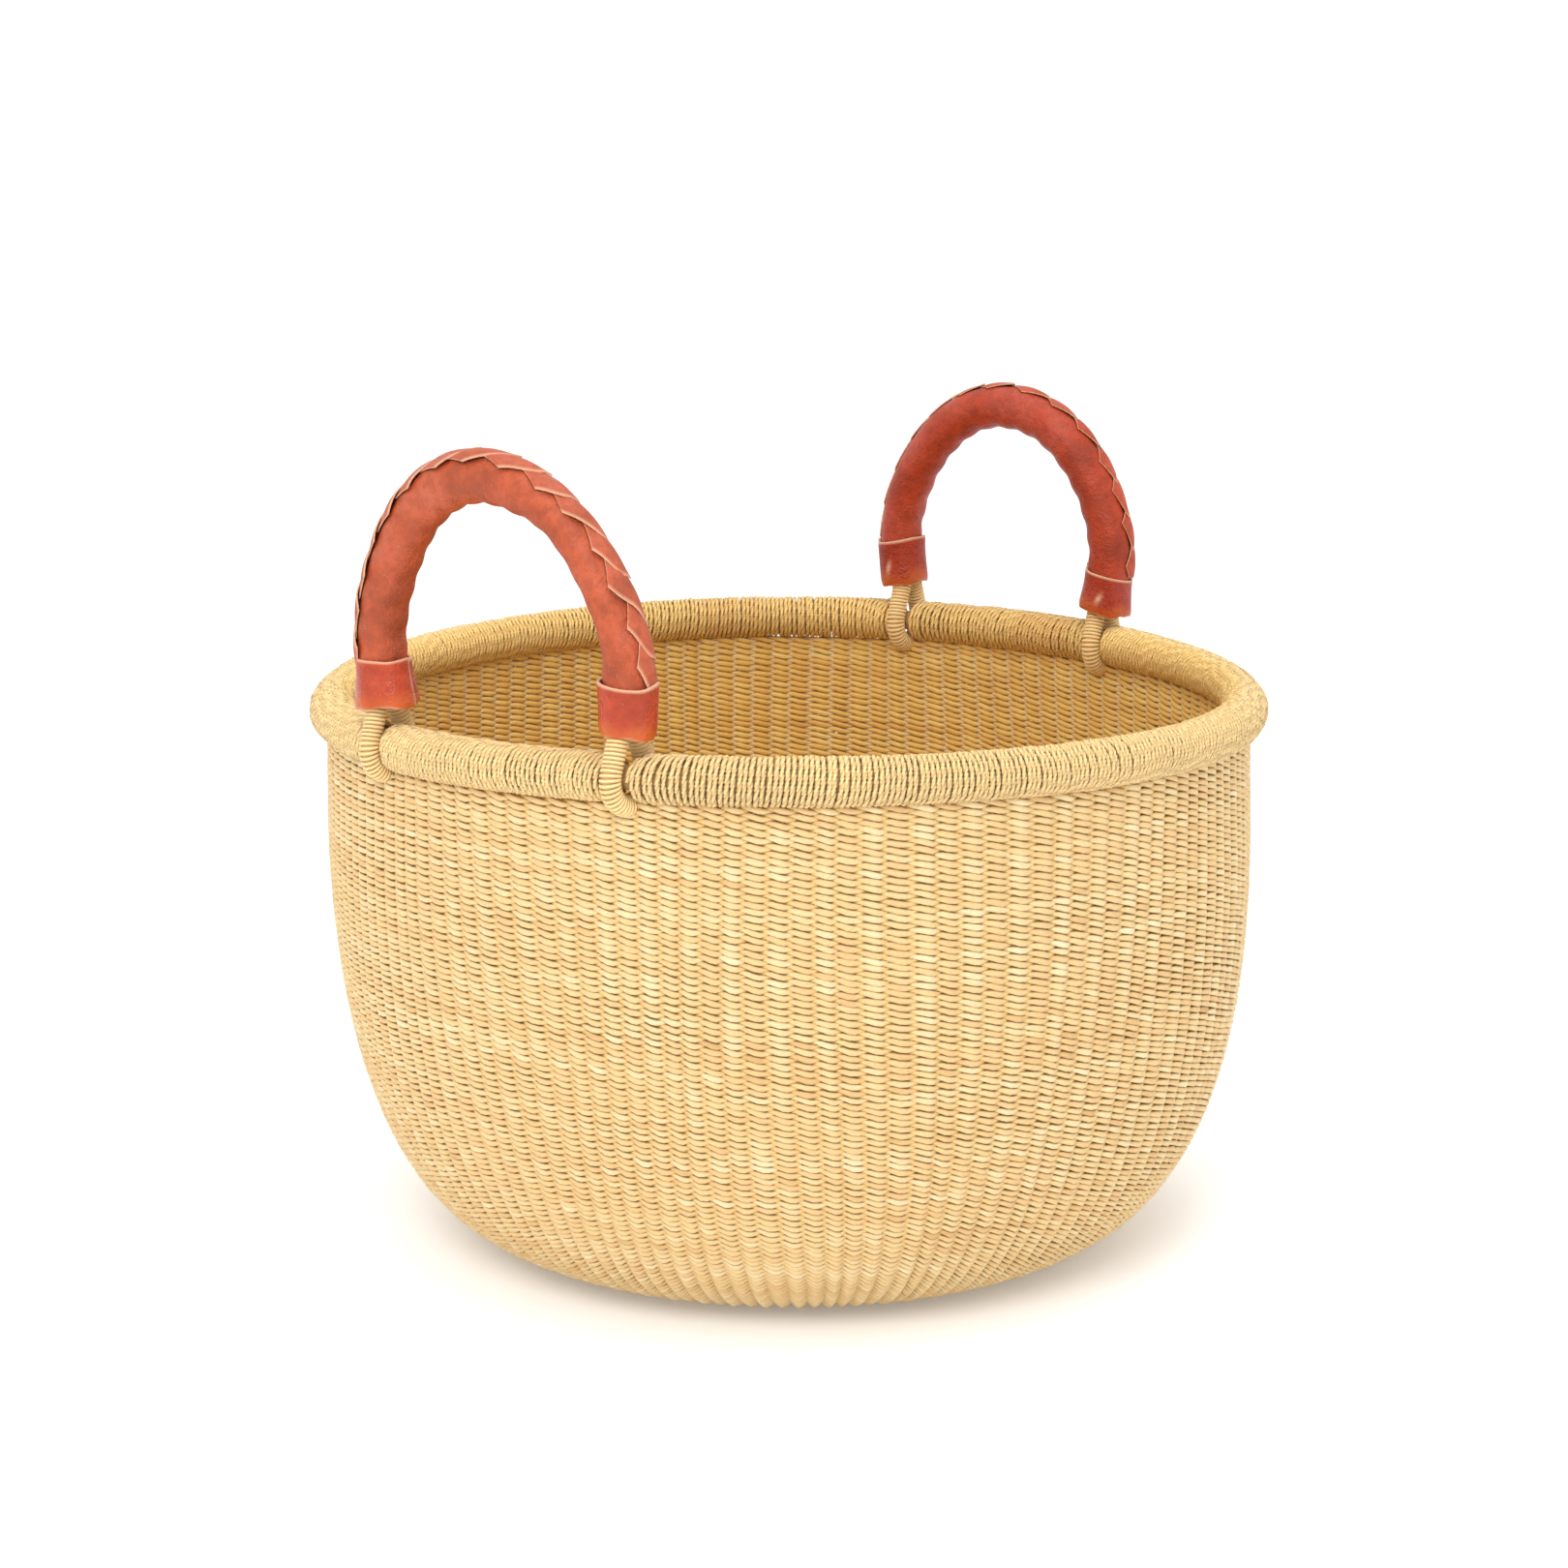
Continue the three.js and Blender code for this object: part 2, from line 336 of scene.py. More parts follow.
class Finish:
    """Short words for the nodes of one material."""

    def __init__(self, name):
        self.material = bpy.data.materials.new(name)
        self.material.use_nodes = True
        self.tree = self.material.node_tree
        self.shader = self.tree.nodes["Principled BSDF"]

    def node(self, kind, **settings):
        node = self.tree.nodes.new(kind)
        for key, value in settings.items():
            setattr(node, key, value)
        return node

    def feed(self, socket, value):
        if isinstance(value, bpy.types.NodeSocket):
            self.tree.links.new(value, socket)
        else:
            socket.default_value = value

    def place(self):
        return self.node("ShaderNodeTexCoord").outputs["Object"]

    def strand(self):
        return self.node("ShaderNodeUVMap", uv_map="Strand").outputs["UV"]

    def round_strand(self):
        """How far round the strand's section, from 0 to 1."""
        node = self.node("ShaderNodeSeparateXYZ")
        self.feed(node.inputs[0], self.strand())
        return node.outputs["Y"]

    def mark(self, name):
        return self.node("ShaderNodeAttribute", attribute_name=name).outputs["Fac"]

    def stretch(self, vector, scale, turn=(0, 0, 0)):
        node = self.node("ShaderNodeMapping")
        self.feed(node.inputs["Vector"], vector)
        node.inputs["Scale"].default_value = scale
        node.inputs["Rotation"].default_value = turn
        return node.outputs["Vector"]

    def noise(self, vector, scale, detail=3.0, roughness=0.5):
        node = self.node("ShaderNodeTexNoise")
        self.feed(node.inputs["Vector"], vector)
        node.inputs["Scale"].default_value = scale
        node.inputs["Detail"].default_value = detail
        node.inputs["Roughness"].default_value = roughness
        return node.outputs["Fac"]

    def cells(self, vector, scale):
        node = self.node("ShaderNodeTexVoronoi")
        self.feed(node.inputs["Vector"], vector)
        node.inputs["Scale"].default_value = scale
        return node.outputs["Distance"]

    def maths(self, operation, a, b=0.0):
        node = self.node("ShaderNodeMath", operation=operation)
        self.feed(node.inputs[0], a)
        self.feed(node.inputs[1], b)
        return node.outputs[0]

    def spread(self, value, low, high, out_low=0.0, out_high=1.0):
        node = self.node("ShaderNodeMapRange", interpolation_type="SMOOTHSTEP")
        self.feed(node.inputs["Value"], value)
        for key, number in zip(("From Min", "From Max", "To Min", "To Max"), (low, high, out_low, out_high)):
            node.inputs[key].default_value = number
        return node.outputs["Result"]

    def ramp(self, value, stops):
        node = self.node("ShaderNodeValToRGB")
        self.feed(node.inputs["Fac"], value)
        points = node.color_ramp.elements
        while len(points) < len(stops):
            points.new(0.5)
        for point, (position, color) in zip(points, stops):
            point.position = position
            point.color = (*color, 1)
        return node.outputs["Color"]

    def mix(self, share, a, b, blend_type="MIX"):
        """Mixes two colours. The Mix node has sockets of one name for each kind of value, and the
        colour's are reached by number."""
        node = self.node("ShaderNodeMix", data_type="RGBA", blend_type=blend_type)
        self.feed(node.inputs["Factor"], share)
        for socket, value in zip((node.inputs[6], node.inputs[7]), (a, b)):
            self.feed(socket, value if isinstance(value, bpy.types.NodeSocket) else (*value, 1))
        return node.outputs[2]

    def bump(self, height, distance, strength=1.0, under=None):
        node = self.node("ShaderNodeBump")
        self.feed(node.inputs["Height"], height)
        node.inputs["Distance"].default_value = distance
        node.inputs["Strength"].default_value = strength
        if under is not None:
            self.feed(node.inputs["Normal"], under)
        return node.outputs["Normal"]

    def done(self, color, roughness, normal, **settings):
        self.feed(self.shader.inputs["Base Color"], color)
        self.feed(self.shader.inputs["Roughness"], roughness)
        self.feed(self.shader.inputs["Normal"], normal)
        for key, value in settings.items():
            self.shader.inputs[key.replace("_", " ")].default_value = value
        return self.material


def shade(color, factor):
    return tuple(min(1.0, channel * factor) for channel in color)


def straw_weave_finish(colours):
    """Flat twisted grass strands: long fibres, each stitch its own tone, with a broken dark line of painted
    shade where one strand meets the next, and painted shade with warm bounced light on the side turned
    inwards."""
    finish = Finish("straw_weave")
    strand = finish.strand()
    tone = finish.mark("tone")
    inner = finish.mark("inner")
    fibres = finish.noise(finish.stretch(strand, (140, 5.0, 1)), 3.0, 4.0, 0.65)
    streak = finish.noise(finish.stretch(strand, (60, 2.0, 1)), 1.5, 2.0)
    varied = finish.maths("ADD", tone, finish.maths("MULTIPLY", finish.maths("SUBTRACT", streak, 0.5), 0.5))
    color = finish.ramp(
        varied,
        [
            (0.0, colours.straw_tan),
            (0.35, colours.straw_blush),
            (0.6, colours.straw),
            (1.0, colours.straw_pale),
        ],
    )
    color = finish.mix(finish.spread(fibres, 0.3, 0.62, 0.22, 0.0), color, shade(colours.straw_tan, 0.62))
    # Painted shade: a broken dark line in the crevice where one strand meets the next, weaker on the side
    # turned inwards.
    turned = finish.maths("MULTIPLY", finish.maths("SUBTRACT", finish.round_strand(), 1 / 3), 2 * TAU)
    edge = finish.spread(finish.maths("COSINE", turned), 0.15, 1.0, 0.0, 0.85)
    broken = finish.spread(finish.noise(finish.place(), 230.0, 2.0), 0.35, 0.62, 0.5, 1.0)
    outside = finish.spread(inner, 0.3, 0.9, 1.0, 0.55)
    edge = finish.maths("MULTIPLY", edge, finish.maths("MULTIPLY", broken, outside))
    color = finish.mix(edge, color, shade(colours.straw_tan, 0.44))
    # Painted shade and warm bounced light on the side of each strand turned into the basket.
    painted_inside_shade = finish.mix(1.0, color, colours.inside_shade_tint, "MULTIPLY")
    color = finish.mix(finish.spread(inner, 0.35, 0.9), color, painted_inside_shade)
    normal = finish.bump(fibres, 0.25 * MM, 0.8)
    roughness = finish.spread(fibres, 0.25, 0.75, 0.72, 0.5)
    return finish.done(color, roughness, normal, Sheen_Weight=0.08)


def straw_cord_finish(colours):
    """Two-ply grass cord: fine fibres that follow the twist, with painted shade down between the plies
    and painted shade with warm bounced light on the side turned inwards.
    """
    finish = Finish("straw_cord")
    strand = finish.strand()
    tone = finish.mark("tone")
    fibres = finish.noise(finish.stretch(strand, (420, 3.0, 1), (0, 0, 0.35)), 2.0, 4.0, 0.6)
    specks = finish.noise(finish.place(), 420.0, 2.0)
    color = finish.ramp(
        tone,
        [
            (0.0, colours.straw_tan),
            (0.35, shade(colours.straw_blush, 1.2)),
            (0.6, shade(colours.straw, 1.2)),
            (1.0, shade(colours.straw, 1.28)),
        ],
    )
    color = finish.mix(finish.spread(fibres, 0.3, 0.6, 0.16, 0.0), color, shade(colours.straw_tan, 0.8))
    color = finish.mix(finish.spread(specks, 0.62, 0.74, 0.0, 0.3), color, shade(colours.straw_tan, 0.6))
    # Painted shade down the groove between the two plies.
    wave = finish.maths("SINE", finish.maths("MULTIPLY", finish.round_strand(), TAU))
    groove = finish.spread(finish.maths("ABSOLUTE", wave), 0.8, 1.0)
    color = finish.mix(finish.maths("MULTIPLY", groove, 0.4), color, shade(colours.straw_tan, 0.7))
    # Painted shade and warm bounced light on the side of each turn that faces into the basket.
    painted_inside_shade = finish.mix(1.0, color, colours.inside_shade_tint, "MULTIPLY")
    color = finish.mix(finish.spread(finish.mark("inner"), 0.0, 1.0, 0.0, 0.55), color, painted_inside_shade)
    normal = finish.bump(finish.maths("SUBTRACT", fibres, groove), 0.35 * MM, 0.8)
    return finish.done(color, finish.spread(fibres, 0.2, 0.8, 0.75, 0.55), normal, Sheen_Weight=0.05)


def grass_finish(colours):
    """Bundled grass stalks, seen only where the binding parts."""
    finish = Finish("grass_core")
    stalks = finish.noise(finish.place(), 700.0, 3.0)
    color = finish.ramp(stalks, [(0.3, colours.straw_tan), (0.7, colours.straw_blush)])
    return finish.done(color, finish.spread(stalks, 0.3, 0.7, 0.9, 0.7), finish.bump(stalks, 0.5 * MM))


def leather_finish(name, colour, roughness, raw=None, foot=None):
    """Hide with a fine pebble grain, cloudy dye, pale flecks and a soft shine. A cut piece turns
    pale towards its raw edge, and a cuff's dye turns orange towards its foot."""
    finish = Finish(name)
    place = finish.place()
    clouds = finish.noise(place, 34.0, 6.0, 0.62)
    fine = finish.noise(place, 260.0, 4.0, 0.6)
    pebbles = finish.cells(place, 850.0)
    creases = finish.noise(place, 110.0, 3.0, 0.7)
    pale = tuple(channel * 0.98 + 0.025 for channel in colour)
    color = finish.ramp(clouds, [(0.3, shade(colour, 0.55)), (0.5, colour), (0.7, pale)])
    color = finish.mix(finish.spread(fine, 0.42, 0.62, 0.0, 0.36), color, shade(colour, 0.55))
    color = finish.mix(finish.spread(creases, 0.52, 0.66, 0.0, 0.35), color, shade(colour, 0.6))
    flecks = finish.spread(finish.noise(place, 520.0, 2.0, 0.5), 0.66, 0.74, 0.0, 0.2)
    color = finish.mix(flecks, color, tuple(channel * 0.6 + 0.2 for channel in colour))
    if foot is not None:
        color = finish.mix(finish.mark("low"), color, foot)
    if raw is not None:
        color = finish.mix(finish.mark("raw"), color, raw)
    grain = finish.bump(pebbles, 0.3 * MM, 0.8)
    normal = finish.bump(creases, 1.6 * MM, 0.7, grain)
    worn = finish.spread(clouds, 0.3, 0.7, roughness + 0.1, roughness - 0.06)
    return finish.done(color, worn, normal, Specular_IOR_Level=0.3)


def raw_edge_finish(colours):
    """The pale, furry flesh side of the leather, seen at every cut."""
    finish = Finish("raw_edge")
    fuzz = finish.noise(finish.place(), 900.0, 3.0)
    color = finish.ramp(fuzz, [(0.3, shade(colours.raw_edge, 0.72)), (0.6, colours.raw_edge)])
    return finish.done(color, finish.spread(fuzz, 0.3, 0.7, 0.95, 0.8), finish.bump(fuzz, 0.3 * MM))


MATERIALS = {}


def material(name):
    return MATERIALS[name]


def mix_finishes(colours):
    """Makes every material anew from the chosen colours."""
    raw = colours.raw_edge
    foot = colours.cuff_foot
    MATERIALS.update(
        straw_weave=straw_weave_finish(colours),
        straw_cord=straw_cord_finish(colours),
        grass_core=grass_finish(colours),
        leather_left=leather_finish("leather_left", colours.leather_left, 0.46),
        leather_right=leather_finish("leather_right", colours.leather_right, 0.46),
        lace_left=leather_finish("lace_left", colours.lace_left, 0.5, raw),
        lace_right=leather_finish("lace_right", colours.lace_right, 0.5, raw),
        cuff_left=leather_finish("cuff_left", colours.cuff_left, 0.28, raw, foot),
        cuff_right=leather_finish("cuff_right", colours.cuff_right, 0.38, raw, foot),
        raw_edge=raw_edge_finish(colours),
    )


# ------------------------------------------------------------------ the bowl's shape


class Profile:
    """The middle of the weave, from the centre of the floor out, round the turn and up to the rim."""

    def __init__(self, steps=120):
        half = WEAVE_THICKNESS / 2
        t = np.linspace(0, 1, steps)[:, None]
        pulls = np.array(
            [
                (FLOOR_RADIUS, 0),
                (FLOOR_RADIUS + TURN_PULL, 0),
                (BELLY_RADIUS, BELLY_HEIGHT - BELLY_PULL),
                (BELLY_RADIUS, BELLY_HEIGHT),
            ]
        )
        a, b, c, d = pulls
        outer = a * (1 - t) ** 3 + 3 * b * t * (1 - t) ** 2 + 3 * c * t**2 * (1 - t) + d * t**3
        slope = unit(3 * (b - a) * (1 - t) ** 2 + 6 * (c - b) * t * (1 - t) + 3 * (d - c) * t**2)
        turn = outer + half * np.stack([-slope[:, 1], slope[:, 0]], -1)
        top = np.array([[RIM_RING, RIM_HEIGHT - RIM_CORE_RADIUS]])
        self.line = np.concatenate([[[0, half]], turn, top])
        self.reach = reach_along(self.line)
        self.floor_reach = self.reach[1]

    def at(self, reach):
        """Radius, height and the unit direction of travel at a distance along the weave."""
        radius = np.interp(reach, self.reach, self.line[:, 0])
        height = np.interp(reach, self.reach, self.line[:, 1])
        step = 1.5 * MM
        ahead_r = np.interp(reach + step, self.reach, self.line[:, 0])
        ahead_z = np.interp(reach + step, self.reach, self.line[:, 1])
        back_r = np.interp(reach - step, self.reach, self.line[:, 0])
        back_z = np.interp(reach - step, self.reach, self.line[:, 1])
        travel = unit(np.stack([ahead_r - back_r, ahead_z - back_z], -1))
        return radius, height, travel

    def reach_at_height(self, height):
        return float(np.interp(height, self.line[1:, 1], self.reach[1:]))


class Stakes:
    """Where the upright stakes stand round the basket: even, but for a little unevenness of hand."""

    def __init__(self, count, seed=11):
        rng = np.random.default_rng(seed)
        spacing = TAU / count
        self.count = count
        self.angles = spacing * (np.arange(count) + rng.uniform(-0.11, 0.11, count))

    def angle(self, place, share=1):
        """The angle at a place counted in stakes, where only every share-th stake is there yet."""
        angles = self.angles[::share]
        ring = np.concatenate([angles, [angles[0] + TAU]])
        return np.interp(place, np.arange(len(ring)), ring)


def sway(angle, reach):
    """How far the stakes lean round the basket, in stakes, as the weave climbs."""
    return 0.35 * np.sin(3 * angle + 9 * reach) + 0.25 * np.sin(7 * angle - 14 * reach + 1.3)


def grass_tones(rng, stitches):
    """A tone for each stitch: strands run on for a while, then a new grass of another tone joins."""
    tones = np.empty(stitches)
    start = 0
    while start < stitches:
        run = int(rng.integers(7, 34))
        tones[start : start + run] = rng.normal(0.57, 0.11)
        start += run
    return np.clip(tones + rng.normal(0, 0.06, stitches), 0.02, 0.98)


def add_weft_row(pile, profile, stakes, sizes, rng, row, reach):
    """One row of twining: two strands that cross between stakes and take turns in front."""
    radius, height, travel = profile.at(reach)
    share = 4 if radius < sizes.first_ring else 2 if radius < sizes.second_ring else 1
    count = stakes.count // share
    steps = sizes.steps_per_stitch
    place = np.arange(count * steps) / steps
    angle = stakes.angle(place, share)
    angle = angle + sway(angle, reach) * TAU / stakes.count
    outward = around(angle, travel[1], -travel[0])
    upward = around(angle, travel[0], travel[1])
    on_wall = float(smooth_step(reach, profile.floor_reach, profile.floor_reach + 40 * MM))
    turn = 1 - abs(2 * float(smooth_step(reach, profile.floor_reach, profile.floor_reach + 110 * MM)) - 1)
    lift = 0.34 * MM * np.sin(5 * angle + 0.23 * row) + 0.26 * MM * np.sin(11 * angle - 0.31 * row)
    lift = lift + 0.14 * MM * np.sin(29 * angle + 1.7 * row)
    pair = np.cos(math.pi * place)
    proud = 0.5 + 0.5 * np.sin(2 * angle + 12 * reach + 2.6) * np.cos(9 * reach)
    rib = (0.16 + 0.5 * turn) * MM * on_wall * np.cos(TAU * place) + 0.2 * MM * on_wall * proud * pair
    middle = around(angle, radius, height) + upward * (lift * on_wall)[:, None]
    tightness = rng.uniform(0.96, 1.05)
    for strand in (0, 1):
        phase = math.pi * place + math.pi * strand
        front = np.cos(phase)
        stitch = np.floor(place + 0.5).astype(int) % count
        own_slant = sizes.stitch_slant * rng.uniform(0.75, 1.3, count)[stitch]
        own_swell = sizes.stitch_swell * rng.uniform(0.92, 1.08, count)[stitch]
        path = middle + outward * (own_swell * front + rib)[:, None]
        path = path - upward * (own_slant * np.sin(phase))[:, None]
        # The proud columns also get a paler tone: a painted highlight where they catch the light.
        tones = grass_tones(rng, count)[stitch] + 0.13 * proud * pair * on_wall
        full = np.abs(front)
        width = rng.uniform(0.94, 1.08, count)[stitch] * (0.62 + 0.38 * full**0.8) * tightness
        depth = 0.9 + 0.1 * full
        inner = (1 - front) / 2
        pile.add_tube(
            path,
            outward,
            upward,
            sizes.strand_depth / 2 * depth,
            sizes.strand_width / 2 * width,
            FLAT_SECTION,
            True,
            tone=np.clip(tones, 0.02, 0.98),
            inner=inner,
        )


def weave(sizes, name, node, first_reach, last_reach, seed):
    """Weaves the rows between two distances and shares them out over pieces of a fair size."""
    profile = Profile()
    stakes = Stakes(sizes.stake_count)
    rows = int(round((last_reach - first_reach) / sizes.row_pitch))
    reaches = first_reach + (np.arange(rows) + 0.5) * (last_reach - first_reach) / rows
    rng = np.random.default_rng(seed)
    number = 1
    pile = Pile()
    for row, reach in enumerate(reaches):
        add_weft_row(pile, profile, stakes, sizes, rng, row, reach)
        if pile.size > sizes.points_in_a_piece or row == rows - 1:
            piece = pile.build(f"{name}_{number}", [material("straw_weave")])
            finish_piece(piece, "root", "straw_weave", node)
            number += 1
            pile = Pile()


def weave_stakes(sizes):
    """The stakes run from the middle of the floor to the rim; more are laid in as it widens."""
    profile = Profile()
    stakes = Stakes(sizes.stake_count)
    rng = np.random.default_rng(23)
    pile = Pile()
    top = profile.reach_at_height(RIM_HEIGHT - RIM_CORE_RADIUS - 0.5 * MM)
    for index in range(stakes.count):
        first = 6 * MM if index % 4 == 0 else sizes.first_ring if index % 2 == 0 else sizes.second_ring
        reach = np.linspace(first, top, max(12, int((top - first) / (7 * MM))))
        radius, height, travel = profile.at(reach)
        angle = stakes.angles[index] + 0 * reach
        angle = angle + sway(angle, reach) * TAU / stakes.count
        path = around(angle, radius, height)
        out = around(angle, travel[:, 1], -travel[:, 0])
        wide = sizes.stake_width / 2 * rng.uniform(0.85, 1.1)
        thick = sizes.stake_depth / 2
        tone = rng.uniform(0.2, 0.8)
        pile.add_tube(path, out, sideways(angle), thick, wide, round_section(4), False, tone=tone, inner=0.5)
    piece = pile.build("stakes", [material("straw_weave")])
    finish_piece(piece, "root", "straw_weave")


def weave_start():
    """The coiled start in the middle of the floor, over which the first stakes cross."""
    pile = Pile()
    turns = 3
    turn = np.linspace(0, turns * TAU, turns * 20)
    radius = 1.0 * MM + 2.3 * MM * turn / TAU
    path = around(turn, radius, WEAVE_THICKNESS / 2)
    up = np.tile(UPRIGHT, (len(turn), 1))
    thick = WEAVE_THICKNESS / 2 - 0.2 * MM
    side = around(turn, 1, 0)
    pile.add_tube(path, side, up, 1.35 * MM, thick, round_section(8), False, tone=0.5, inner=0.6)
    piece = pile.build("floor_start", [material("straw_weave")])
    finish_piece(piece, "root", "straw_weave")


# ------------------------------------------------------------------ handles: where they stand


class Handle:
    """One handle's own axes: X between its feet, Y out of the basket, Z up, from its hinge line."""

    def __init__(self, name):
        self.name = name
        self.body = f"handle_{name}"
        joint = next(j for j in frame["joints"] if j["name"] == f"handle_{name}_tilt")
        self.origin = np.array(joint["pos_m"], float)
        self.x = -np.array(joint["axis"], float)
        self.z = UPRIGHT
        self.y = np.cross(self.z, self.x)
        away = math.hypot(self.origin[0], self.origin[1])
        self.half_chord = math.sqrt(RIM_RING**2 - away**2)
        self.azimuth = math.atan2(self.origin[1], self.origin[0])
        self.spread = math.asin(self.half_chord / RIM_RING)
        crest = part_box(f"handle_{name}_sleeve")[1].z - self.origin[2] - SLEEVE_RADIUS
        self.belt = BELT[name]
        self.rise = crest - self.belt
        self.half_width = self.half_chord / math.sqrt(1 - (self.belt / self.rise) ** 2)
        self.lean = LEAN[name] / (self.belt + self.rise) ** 2

    def foot_angles(self):
        return [self.azimuth - self.spread, self.azimuth + self.spread]

    def angle_at(self, height):
        return math.asin((height - self.belt) / self.rise)

    def place(self, local):
        """Points in the handle's own axes, leaning as it does, moved into the frame."""
        lean = self.lean * np.clip(local[..., 2:3], 0, None) ** 2 * np.array([1.0, 0.0, 0.0])
        return self.origin + (local + lean) @ np.stack([self.x, self.y, self.z])

    def arch(self, start, end, count):
        """Evenly spaced points of the arch between two angles, with the direction square to it in
        its own plane and the distance along it. That direction points away from the arch's
        middle, or towards it if the second angle is the lower. All are in the handle's own axes."""
        fine = np.linspace(start, end, 600)
        height = self.belt + self.rise * np.sin(fine)
        drawn = FOOT_DRAW * (1 - smooth_step(height, CUFF_BOTTOM, FOOT_DRAW_TOP))
        wide = self.half_width * np.cos(fine) - drawn * np.sign(np.cos(fine))
        line = np.stack([wide, 0 * fine, height], -1)
        reach = reach_along(line)
        even = np.linspace(0, reach[-1], count)
        points = blend(even, reach, line)
        tangent = unit(np.gradient(points, axis=0))
        square = np.stack([tangent[:, 2], 0 * even, -tangent[:, 0]], -1)
        return points, square, even


def handles():
    return [Handle("left"), Handle("right")]


# ------------------------------------------------------------------ rim


def rim_lengths():
    """The stretches of binding between the loops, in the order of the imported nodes' names."""
    feet = sorted(angle % TAU for handle in handles() for angle in handle.foot_angles())
    leans = {
        round(angle % TAU, 6): math.copysign(handle.spread, angle - handle.azimuth)
        for handle in handles()
        for angle in handle.foot_angles()
    }
    stretches = []
    for start, end in zip(feet, feet[1:] + [feet[0] + TAU]):
        middle = (start + end) / 2
        centre = math.atan2(math.sin(middle), math.cos(middle))
        stretches.append((centre, start, end, leans[round(start % TAU, 6)], leans[round(end % TAU, 6)]))
    return sorted(stretches)


def bind_rim(sizes):
    """Winds two-ply cord round the rim bundle, close up to each rope loop."""
    rng = np.random.default_rng(31)
    thick = sizes.cord_width / 2
    thin = thick * 0.86
    for index, (_, start, end, start_lean, end_lean) in enumerate(rim_lengths()):
        begin = start * RIM_RING + SHOULDER_GAP
        finish = end * RIM_RING - SHOULDER_GAP
        turns = int((finish - begin) / sizes.cord_pitch)
        turn = np.arange(turns * sizes.steps_per_turn) / sizes.steps_per_turn
        wind = TAU * turn
        base = begin + turn / turns * (finish - begin)
        from_start = base - start * RIM_RING
        from_end = end * RIM_RING - base
        near = np.minimum(from_start, from_end)
        fall = (SHOULDER - np.minimum(near, SHOULDER)) / (SHOULDER - SHOULDER_GAP + 1.2 * MM)
        drop = 1 - np.sqrt(np.clip(1 - fall**2, 0, 1))
        lumps = 0.3 * np.sin(base / (9 * MM) + 2 * np.sin(base / (31 * MM)))
        lumps = lumps + 0.25 * np.sin(base / (4.3 * MM)) + 0.3 * np.sin(2 * wind + base / (17 * MM))
        radius = RIM_RADIUS - thick - SHOULDER_DROP * drop + 0.3 * MM * lumps * (near > SHOULDER)
        lean_start = math.tan(start_lean) * (1 - smooth_step(from_start, 6 * MM, 34 * MM))
        lean_end = math.tan(end_lean) * (1 - smooth_step(from_end, 6 * MM, 34 * MM))
        slant = 0.9 * MM * np.sin(base / (38 * MM)) * smooth_step(near, 10 * MM, 40 * MM)
        along = base - radius * np.cos(wind) * (lean_start + lean_end) + slant * np.sin(wind + 0.6)
        knots = rng.standard_normal((3, sizes.knots_per_turn * turns + 2))
        places = np.arange(knots.shape[1])
        stray, loose, plump = (np.interp(sizes.knots_per_turn * turn, places, row) for row in knots)
        along = along + 0.22 * MM * stray * smooth_step(near, 5 * MM, 9 * MM)
        radius = radius + 0.12 * MM * loose
        angle = along / RIM_RING
        spoke = swing(around(angle, 1, 0), UPRIGHT, wind)
        path = around(angle, RIM_RING, RIM_HEIGHT) + spoke * radius[:, None]
        tangent = sideways(angle)
        uneven = 1.2 * np.sin(base / (13 * MM)) + 0.8 * np.sin(base / (5.1 * MM))
        twist = TAU * reach_along(path) / sizes.twist_length + uneven
        side = swing(spoke, tangent, twist)
        up = swing(tangent, -spoke, twist)
        joins = np.cumsum(rng.integers(8, 22, 200))
        patch = rng.normal(0, 0.09, 201)[np.searchsorted(joins, turn)]
        tones = grass_tones(rng, turns * 2)[np.minimum((turn * 2).astype(int), turns * 2 - 1)]
        fat = 1 + 0.06 * plump
        pile = Pile()
        pile.add_tube(
            path,
            side,
            up,
            thick * fat,
            thin * fat,
            round_section(sizes.cord_sides),
            False,
            tone=np.clip(0.75 * tones + 0.34 + patch, 0.02, 0.98),
            inner=smooth_step(-np.cos(wind), -0.3, 0.9),
        )
        piece = pile.build(f"rim_cord_{index + 1}", [material("straw_cord")])
        finish_piece(piece, "root", "straw_cord", f"rim_binding_{index + 1}")


def draw_in(points):
    """Draws the bundle in where a rope loop grips it, so that the loop turns freely."""
    angle = np.arctan2(points[:, 1], points[:, 0])
    feet = np.array([foot for handle in handles() for foot in handle.foot_angles()])
    apart = np.abs((angle[:, None] - feet + math.pi) % TAU - math.pi).min(axis=1)
    grip = 1 - smooth_step(apart * RIM_RING, GRIP_FULL, GRIP_END)
    middle = around(angle, RIM_RING, RIM_HEIGHT)
    return middle + (points - middle) * (1 - GRIP_SHARE * grip)[:, None]


def copy_bundle(node, name):
    """A merged copy of a packed bundle of stalks, which settles with the rest."""
    bundle = frame["nodes"][node].copy()
    bundle.data = bundle.data.copy()
    bundle.name = name
    bundle.data.name = name
    bundle.hide_render = False
    bpy.context.scene.collection.objects.link(bundle)
    for key in list(bundle.keys()):
        del bundle[key]
    select_only(bundle)
    bpy.ops.object.mode_set(mode="EDIT")
    bpy.ops.mesh.select_all(action="SELECT")
    bpy.ops.mesh.remove_doubles(threshold=0.01 * MM)
    bpy.ops.mesh.subdivide(number_cuts=1)
    bpy.ops.object.mode_set(mode="OBJECT")
    smooth_by_angle(bundle, 50)
    set_points(bundle, draw_in(points_of(bundle)))
    bundle.data.materials.clear()
    bundle.data.materials.append(material("grass_core"))
    finish_piece(bundle, "root", "grass_core", node)


# ------------------------------------------------------------------ rope loops


